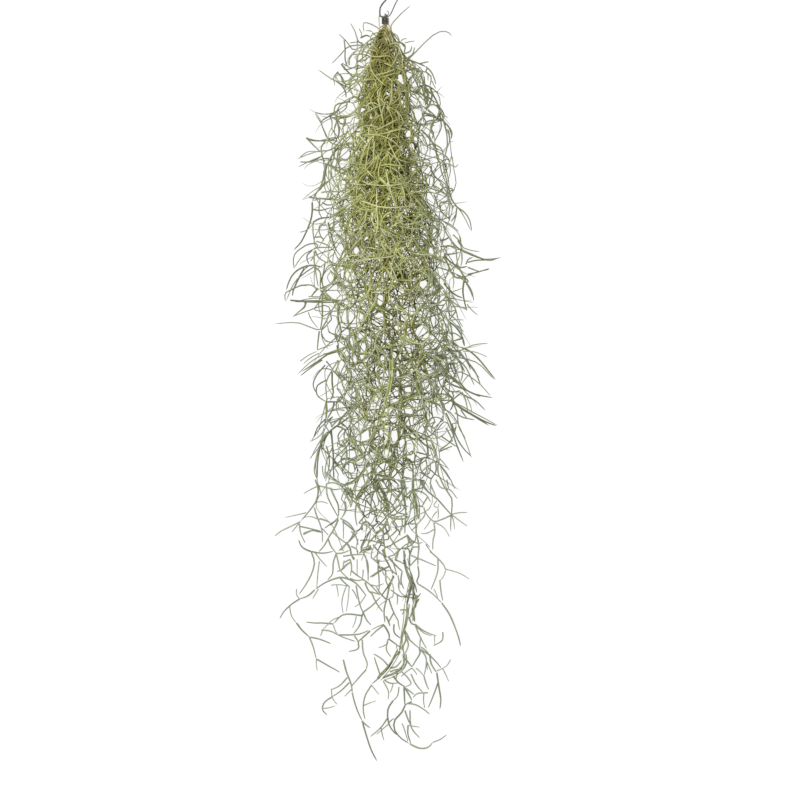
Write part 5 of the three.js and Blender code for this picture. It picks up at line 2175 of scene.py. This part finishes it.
@dataclass
class TiedNeck:
    """The gathered stem ends, the binding wire round them and the hanging loop."""

    sides: int = 12
    loop_rings: int = 160
    winding_rings: int = 420
    angles: tuple[int, ...] = (-90, -135, -45, 0, 45, 135, 90)

    def stem_ends(self, threads: Threads) -> None:
        """Adds each lock's stem through the tie and on to its fork."""
        for lock in range(LOCKS):
            x, z, radius = self.place(lock)
            ring_cut = STEM_CUT_PAST_TIE + STEM_CUT_STEP * ((lock * 3) % LOCKS)
            past = MIDDLE_STEM_CUT_PAST_TIE if lock == LOCKS // 2 else ring_cut
            fork_z = Outline.strand(lock, 0.5, NECK_X, FORK_DEPTH, STEM_RADIUS)
            corners = np.array([
                (x, TIE_HIGH_Y + past, z), (x, TIE_HIGH_Y - 3, z), (x, TIE_LOW_Y - 1, z),
                (NECK_X, TIE_LOW_Y - FORK_DEPTH, fork_z),
            ])
            for at in range(len(corners) - 1):
                line = smooth_line(corners, at + STEM_STATIONS)
                tone = 0.0 if at == 0 else None
                threads.add(lock, Kind.STEM, line, np.full(len(STEM_STATIONS), radius), tone)

    def place(self, lock: int) -> tuple[float, float, float]:
        """Where a lock's stem stands in the neck, and its radius."""
        if lock == LOCKS // 2:
            return NECK_X, NECK_Z, MIDDLE_STEM_RADIUS
        angle = math.radians(self.angles[lock])
        x = NECK_X + NECK_RING_RADIUS * math.cos(angle)
        return x, NECK_Z + NECK_RING_RADIUS * math.sin(angle), NECK_STEM_RADIUS

    def loop(self) -> bpy.types.Object:
        """Models the hanging loop."""
        heights = (TIE_LOW_Y, TIE_HIGH_Y - 2, TIE_HIGH_Y)
        left = [(NECK_X - NECK_RING_RADIUS, y, NECK_Z) for y in heights]
        right = [(NECK_X + NECK_RING_RADIUS, y, NECK_Z) for y in heights]
        route = [(x, y, NECK_Z) for x, y in LOOP_ROUTE]
        corners = np.array(left + route + right[::-1])
        radii = LOOP_TAPER * (1, LOOP_WIRE_RADIUS)
        return self._wire("loop_wire", corners, radii, self.loop_rings, (0, 0, 1))

    def winding(self) -> bpy.types.Object:
        """Models the binding wire."""
        radius = NECK_RING_RADIUS + LOOP_WIRE_RADIUS + BINDING_CLEARANCE + BINDING_WIRE_RADIUS
        steps = BINDING_TURNS * BINDING_STEPS_PER_TURN
        step = np.arange(steps + 1)
        angle = 2 * np.pi * step / BINDING_STEPS_PER_TURN
        rise = TIE_HIGH_Y - TIE_LOW_Y - 2 * BINDING_WIRE_RADIUS
        turns = np.stack([
            NECK_X + radius * np.sin(angle),
            TIE_LOW_Y + BINDING_WIRE_RADIUS + rise * step / steps,
            NECK_Z + radius * np.cos(angle),
        ], axis=1)
        corners = np.vstack([turns, BINDING_CURL])
        radii = BINDING_TAPER * (1, BINDING_WIRE_RADIUS)
        return self._wire("tie_wire", corners, radii, self.winding_rings, (0, 1, 0))

    def _wire(
        self, name: str, corners: Array, radii: Array, rings: int, reference: RGB
    ) -> bpy.types.Object:
        """Models a round wire with domed ends along a smooth curve.

        Args:
            name: The name of the object.
            corners: Points that the wire passes through.
            radii: Places along the wire, from 0 to 1, and its radius there.
            rings: How many rings it has.
            reference: A direction that the wire never runs along.

        Returns:
            The object, in metres, at the origin.
        """
        piece = unit_rod(self.sides, "TRIFAN", [ring / rings for ring in range(rings + 1)])
        piece.name = piece.data.name = name
        places = corner_places(piece)
        fine = smooth_line(corners, np.linspace(0, len(corners) - 1, 8 * len(corners)))
        run = np.concatenate([[0], np.cumsum(np.linalg.norm(np.diff(fine, axis=0), axis=1))])
        wanted = places[:, 2] * run[-1]

        def middle_line(along: Array) -> Array:
            """Reads the wire's middle line at distances along it."""
            return np.stack([np.interp(along, run, part) for part in fine.T], axis=1)

        line = middle_line(wanted)
        ahead = middle_line(wanted + WIRE_TANGENT_STEP)
        tangent = ahead - middle_line(wanted - WIRE_TANGENT_STEP)
        tangent /= np.linalg.norm(tangent, axis=1, keepdims=True)
        side = np.cross(np.array(reference, float), tangent)
        side /= np.linalg.norm(side, axis=1, keepdims=True)
        up = np.cross(tangent, side)
        radius = np.interp(places[:, 2:], radii[:, 0], radii[:, 1])
        placed = line + radius * (places[:, :1] * side + places[:, 1:2] * up)
        piece.data.vertices.foreach_set("co", (placed * MM).ravel())
        piece.data.update()
        piece.data.shade_smooth()
        return piece


# ---- Finishes ----


Input = Union["Channel", float]


class Channel:
    """A value in a material's node tree that can be used in sums."""

    def __init__(self, recipe: "Recipe", socket: bpy.types.NodeSocket) -> None:
        """Wraps a socket."""
        self.recipe = recipe
        self.socket = socket

    def _with(self, operation: str, first: Input, second: Input) -> "Channel":
        """Adds a Math node."""
        node = self.recipe.add("ShaderNodeMath", {"operation": operation}, {0: first, 1: second})
        return Channel(self.recipe, node.outputs[0])

    def __add__(self, other: Input) -> "Channel":
        """The sum."""
        return self._with("ADD", self, other)

    __radd__ = __add__

    def __sub__(self, other: Input) -> "Channel":
        """The difference."""
        return self._with("SUBTRACT", self, other)

    def __rsub__(self, other: Input) -> "Channel":
        """The difference the other way round."""
        return self._with("SUBTRACT", other, self)

    def __mul__(self, other: Input) -> "Channel":
        """The product."""
        return self._with("MULTIPLY", self, other)

    __rmul__ = __mul__

    def clamped(self) -> "Channel":
        """The value kept from 0 to 1."""
        node = self.recipe.add("ShaderNodeClamp", {}, {"Value": self})
        return Channel(self.recipe, node.outputs[0])

    def between(self, low: float, high: float) -> "Channel":
        """A smooth step from 0 at low to 1 at high."""
        settings = {"interpolation_type": "SMOOTHSTEP"}
        inputs = {"Value": self, "From Min": low, "From Max": high}
        node = self.recipe.add("ShaderNodeMapRange", settings, inputs)
        return Channel(self.recipe, node.outputs[0])


class Recipe:
    """A material in the making."""

    def __init__(self, name: str) -> None:
        """Starts a material with one shader."""
        self.material = bpy.data.materials.new(name)
        self.material.use_nodes = True
        self.nodes = self.material.node_tree.nodes
        self.links = self.material.node_tree.links
        self.shader = self.nodes["Principled BSDF"]

    def set(self, socket: bpy.types.NodeSocket, value: Any) -> None:
        """Links a channel or a socket, or sets a number or a colour."""
        if isinstance(value, Channel):
            value = value.socket
        if isinstance(value, bpy.types.NodeSocket):
            self.links.new(value, socket)
        elif isinstance(value, tuple) and len(socket.default_value) == 4:
            socket.default_value = (*value[:3], 1.0)
        else:
            socket.default_value = value

    def add(self, kind: str, settings: dict[str, Any], inputs: dict[Any, Any]) -> bpy.types.Node:
        """Adds a node.

        Args:
            kind: The node's type.
            settings: Its properties, set first.
            inputs: Values or links of its sockets, by name or number.

        Returns:
            The node.
        """
        node = self.nodes.new(kind)
        for name, value in settings.items():
            setattr(node, name, value)
        for key, value in inputs.items():
            self.set(node.inputs[key], value)
        return node

    def attribute(self, name: str) -> Channel:
        """A number that the mesh holds at each corner."""
        node = self.add("ShaderNodeAttribute", {"attribute_name": name}, {})
        return Channel(self, node.outputs["Fac"])

    def noise(self, scale: float, detail: float = 2.0) -> Channel:
        """A smooth random pattern in the object's own space."""
        place = self.add("ShaderNodeTexCoord", {}, {}).outputs["Object"]
        inputs = {"Vector": place, "Scale": scale, "Detail": detail}
        return Channel(self, self.add("ShaderNodeTexNoise", {}, inputs).outputs[0])

    def cells(self, scale: float) -> Channel:
        """Distance to the nearest of scattered points in the object's own space."""
        place = self.add("ShaderNodeTexCoord", {}, {}).outputs["Object"]
        node = self.add("ShaderNodeTexVoronoi", {}, {"Vector": place, "Scale": scale})
        return Channel(self, node.outputs["Distance"])

    def mix(
        self, share: Input, first: Any, second: Any, blend: str = "MIX"
    ) -> bpy.types.NodeSocket:
        """Mixes two colours."""
        node = self.add("ShaderNodeMix", {"data_type": "RGBA", "blend_type": blend}, {})
        self.set(node.inputs["Factor"], share)
        colour_inputs = [socket for socket in node.inputs if socket.type == "RGBA"]
        self.set(colour_inputs[0], first)
        self.set(colour_inputs[1], second)
        return next(socket for socket in node.outputs if socket.type == "RGBA")

    def finish(self, inputs: dict[str, Any], relief: Input, height: float, strength: float) -> None:
        """Sets the shader's sockets and gives it a relief."""
        bump_inputs = {"Strength": strength, "Distance": height, "Height": relief}
        bump = self.add("ShaderNodeBump", {}, bump_inputs)
        for name, value in inputs.items():
            self.set(self.shader.inputs[name], value)
        self.set(self.shader.inputs["Normal"], bump.outputs["Normal"])


def linear(red: int, green: int, blue: int) -> RGB:
    """A colour of a screen as the renderer's own numbers."""
    return tuple(
        part / 255 / 12.92 if part <= 10 else ((part / 255 + 0.055) / 1.055) ** 2.4
        for part in (red, green, blue)
    )


@dataclass(frozen=True)
class MossFinish:
    """Living moss: olive threads under a bloom of grey scales, brown where the stems are old, with
    painted shade deep under the crown and in its dark pockets.
    """

    name: str
    # Olive in the middle and grey at the edges: partly the moss's own colours, partly painted light.
    olive: RGB = linear(206, 211, 123)
    grey: RGB = linear(136, 146, 123)
    dark: RGB = (0.45, 0.44, 0.19)
    deep: RGB = (0.42, 0.41, 0.05)
    # Partly the moss's own pale colours, partly painted highlight.
    pale: RGB = linear(216, 218, 170)
    pale_grey: RGB = linear(206, 209, 196)
    # Painted shade: colours that darken the threads deep under the crown, and further darken those in
    # the dark pockets.
    inside: RGB = (0.37, 0.38, 0.15)
    heart: RGB = (0.36, 0.35, 0.02)
    pocket_shade: RGB = (0.5, 0.48, 0.1)
    scales: RGB = linear(196, 198, 176)
    bark: RGB = linear(148, 128, 90)
    tip: RGB = linear(118, 104, 72)
    patch_scale: float = 60.0
    flake_scale: float = 2600.0
    bloom_scale: float = 420.0
    dark_below: float = 0.42
    dark_share: float = 0.8
    pale_above: float = 0.62
    pale_and_highlight_share: float = 0.6
    patches_above: float = 0.45
    patch_share: float = 0.35
    tip_from: float = 0.82
    tip_share: float = 0.55
    bloom_share: float = 0.3
    inner_shade_share: float = 0.66
    roughness: float = 0.52
    relief_mm: float = 0.08
    relief_strength: float = 0.35
    specular: float = 0.35

    def make(self) -> bpy.types.Material:
        """Makes the material."""
        recipe = Recipe(self.name)
        tone, reach = recipe.attribute("tone"), recipe.attribute("reach")
        patches = recipe.noise(self.patch_scale, 3.0)
        olive = recipe.attribute("olive")
        heart = olive.between(0.4, 1.0)
        dark = recipe.mix(heart, self.dark, self.deep)
        colour = recipe.mix(olive, self.grey, self.olive)
        colour = recipe.mix(recipe.attribute("bark"), colour, self.bark)
        shade = (self.dark_below - tone).between(0.0, self.dark_below) * self.dark_share
        colour = recipe.mix(shade, colour, dark, "MULTIPLY")
        # Paler threads: partly their own tone, partly painted highlight.
        light = (tone - self.pale_above).between(0.0, 1 - self.pale_above) * self.pale_and_highlight_share
        colour = recipe.mix(light, colour, recipe.mix(olive, self.pale_grey, self.pale))
        patchy = (patches - self.patches_above).between(0.0, 0.25) * self.patch_share
        colour = recipe.mix(patchy, colour, dark, "MULTIPLY")
        colour = recipe.mix(reach.between(self.tip_from, 1.0) * self.tip_share, colour, self.tip)
        flakes = 1 - recipe.cells(self.flake_scale).between(0.15, 0.5)
        bloom = flakes * recipe.noise(self.bloom_scale).between(0.4, 0.62)
        colour = recipe.mix(bloom * self.bloom_share, colour, self.scales)
        # Painted shade: darker deep under the crown and, further, in the dark pockets.
        inside = recipe.mix(heart, self.inside, self.heart)
        inner = recipe.attribute("inner")
        colour = recipe.mix((inner * self.inner_shade_share).clamped(), colour, inside, "MULTIPLY")
        # Painted shade in the dark pockets of the crown.
        colour = recipe.mix((inner - 1).clamped(), colour, self.pocket_shade, "MULTIPLY")
        rough = patches * 0.2 + bloom * 0.15 + self.roughness
        inputs = {"Base Color": colour, "Roughness": rough, "Specular IOR Level": self.specular}
        recipe.finish(inputs, flakes, self.relief_mm * MM, self.relief_strength)
        return recipe.material


@dataclass(frozen=True)
class WireFinish:
    """Dark soft iron wire with a thin grey oxide."""

    name: str
    oxide: RGB = linear(82, 80, 70)
    worn: RGB = linear(138, 136, 124)
    blotch_scale: float = 700.0
    scratch_scale: float = 3200.0
    roughness: float = 0.52
    metallic: float = 0.45
    relief_mm: float = 0.04
    relief_strength: float = 0.4

    def make(self) -> bpy.types.Material:
        """Makes the material."""
        recipe = Recipe(self.name)
        blotches = recipe.noise(self.blotch_scale, 4.0)
        scratches = recipe.noise(self.scratch_scale)
        wear = (blotches.between(0.48, 0.66) * 0.6 + scratches.between(0.56, 0.7) * 0.3).clamped()
        colour = recipe.mix(wear, self.oxide, self.worn)
        rough = self.roughness - wear * 0.16 + scratches * 0.1
        inputs = {"Base Color": colour, "Roughness": rough, "Metallic": wear * 0.3 + self.metallic}
        relief = scratches + blotches * 0.5
        recipe.finish(inputs, relief, self.relief_mm * MM, self.relief_strength)
        return recipe.material


# ---- The stage ----


@dataclass
class Studio:
    """A pale floor, soft light and a camera that looks straight down on the bunch."""

    field_mm: float = 800.0
    camera_height: float = 3.0
    aim_height: float = 0.02
    sensor_mm: float = 36.0
    clip_end: float = 50.0
    floor_radius: float = 9.0
    floor_drop: float = 0.0004
    floor_tones: tuple[float, float] = (0.095, 0.105)
    floor_glow: float = 0.915
    horizon: Span = Span(0.2, 0.36)
    sky: float = 0.52
    lamp_place: RGB = (-0.9, 0.7, 2.2)
    lamp_size: float = 1.6
    lamp_power: float = 43.0

    def build(self) -> None:
        """Builds the floor, the lights and the camera."""
        self._floor()
        self._sky()
        self._lamp()
        self._camera()

    def _floor(self) -> None:
        """Lays the floor."""
        bpy.ops.object.select_all(action="DESELECT")
        bpy.ops.mesh.primitive_circle_add(
            vertices=96, radius=self.floor_radius, fill_type="NGON",
            location=(0, 0, -self.floor_drop),
        )
        bpy.ops.object.transform_apply(location=True, rotation=True, scale=True)
        floor = bpy.context.object
        floor.name = floor.data.name = "floor"
        recipe = Recipe("floor_white")
        grain = recipe.noise(30.0, 3.0)
        dark, light = ((tone, tone, tone) for tone in self.floor_tones)
        inputs = {
            "Base Color": recipe.mix(grain, dark, light), "Roughness": 0.85,
            "Specular IOR Level": 0.2, "Emission Color": (1.0, 1.0, 1.0),
            "Emission Strength": self.floor_glow,
        }
        recipe.finish(inputs, grain, 0.1 * MM, 0.05)
        floor.data.materials.append(recipe.material)

    def _sky(self) -> None:
        """Lights the scene evenly from all round, white at the horizon like the floor."""
        world = bpy.data.worlds.new("studio_sky")
        world.use_nodes = True
        nodes, links = world.node_tree.nodes, world.node_tree.links
        background = nodes["Background"]
        background.inputs["Color"].default_value = (1.0, 1.0, 1.0, 1.0)
        way, parts = nodes.new("ShaderNodeTexCoord"), nodes.new("ShaderNodeSeparateXYZ")
        fade = nodes.new("ShaderNodeMapRange")
        fade.interpolation_type = "SMOOTHSTEP"
        low, high = self.horizon
        limits = {"From Min": low, "From Max": high, "To Min": 1.0, "To Max": self.sky}
        for name, value in limits.items():
            fade.inputs[name].default_value = value
        links.new(way.outputs["Generated"], parts.inputs["Vector"])
        links.new(parts.outputs["Z"], fade.inputs["Value"])
        links.new(fade.outputs["Result"], background.inputs["Strength"])
        bpy.context.scene.world = world

    def _lamp(self) -> None:
        """Hangs a broad soft lamp that points at the bunch."""
        data = bpy.data.lights.new("key", "AREA")
        data.shape, data.size, data.energy = "DISK", self.lamp_size, self.lamp_power
        lamp = bpy.data.objects.new("key", data)
        bpy.context.scene.collection.objects.link(lamp)
        lamp.location = self.lamp_place
        way = Vector((0, 0, self.aim_height)) - Vector(self.lamp_place)
        lamp.rotation_euler = way.to_track_quat("-Z", "Y").to_euler()

    def _camera(self) -> None:
        """Sets the camera over the bunch, with its tied end at the top of the picture."""
        data = bpy.data.cameras.new("camera")
        data.sensor_width = self.sensor_mm
        distance = self.camera_height - self.aim_height
        data.lens = self.sensor_mm * distance / (self.field_mm * MM)
        data.clip_end = self.clip_end
        camera = bpy.data.objects.new("camera", data)
        bpy.context.scene.collection.objects.link(camera)
        x, y = FIELD_CORNER[0] + self.field_mm / 2, FIELD_CORNER[1] - self.field_mm / 2
        camera.location = (x * MM, y * MM, self.camera_height)
        bpy.context.scene.camera = camera
        bpy.context.scene.view_settings.view_transform = "Standard"


# ---- The bunch ----


@dataclass
class MossBunch:
    """The whole bunch: seven locks of threads, the tie and the loop."""

    fine_seed: int = 4099

    def build(self) -> None:
        """Builds every piece and puts it in place of its solid."""
        blanks = {
            Kind.STEM: Blank(6, STEM_STATIONS, False),
            Kind.LEAF: Blank(5, LEAF_STATIONS, True),
        }
        draws = Draws(self.fine_seed)
        looms = [Loom(blanks) for _ in range(LOCKS)]
        threads = Threads(looms, draws)
        neck = TiedNeck()
        neck.stem_ends(threads)
        main_growth = MainGrowth()
        for stem in main_growth.stems:
            threads.add_stem(stem)
        fine = FineGrowth(threads, draws)
        for rule in (CORE_RULE, NET_RULE):
            for lock in range(LOCKS):
                fine.grow_lock(lock, rule)
        for number, route in enumerate(CROWN_ARCS):
            lift, tone = UPPER_ARCS if route[0][1] > LOWER_ARCS_Y else LOWER_ARCS
            threads.add_arc(LOCKS - 1 - number % 2, route, lift, tone)
        for kind, radius, tone in PLACED:
            for number, route in enumerate(kind):
                threads.add_placed(number % LOCKS, route, radius, tone)
        for number, route in enumerate(BUNDLES):
            lock = LOWEST_BUNDLE_LOCK + number % (LOCKS - LOWEST_BUNDLE_LOCK)
            threads.add_bundle(lock, route)
        moss = MossFinish("living_moss").make()
        wire = WireFinish("dark_wire").make()
        for lock, loom in enumerate(looms):
            piece = loom.weave(f"moss_threads_{lock + 1}")
            slot = "moss_grey" if lock < LOCKS / 2 else "moss_olive"
            self._place(piece, f"moss_lock_{lock + 1}", slot, moss)
        self._place(neck.loop(), "hanging_loop", "wire", wire)
        self._place(neck.winding(), "binding_wire", "wire", wire)

    @staticmethod
    def _place(piece: bpy.types.Object, node: str, slot: str, finish: bpy.types.Material) -> None:
        """Dresses a piece and puts it in place of a solid."""
        piece.data.materials.clear()
        piece.data.materials.append(finish)
        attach(piece, "root")
        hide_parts(node)
        triangles = sum(len(face.vertices) - 2 for face in piece.data.polygons)
        LOG.info("%s stands for %s with %d triangles", piece.name, node, triangles)


def main() -> None:
    """Builds the studio and the bunch, in that order."""
    logging.basicConfig(level=logging.INFO, stream=sys.stdout, format="%(name)s: %(message)s")
    Studio().build()
    MossBunch().build()


if __name__ == "__main__":
    main()
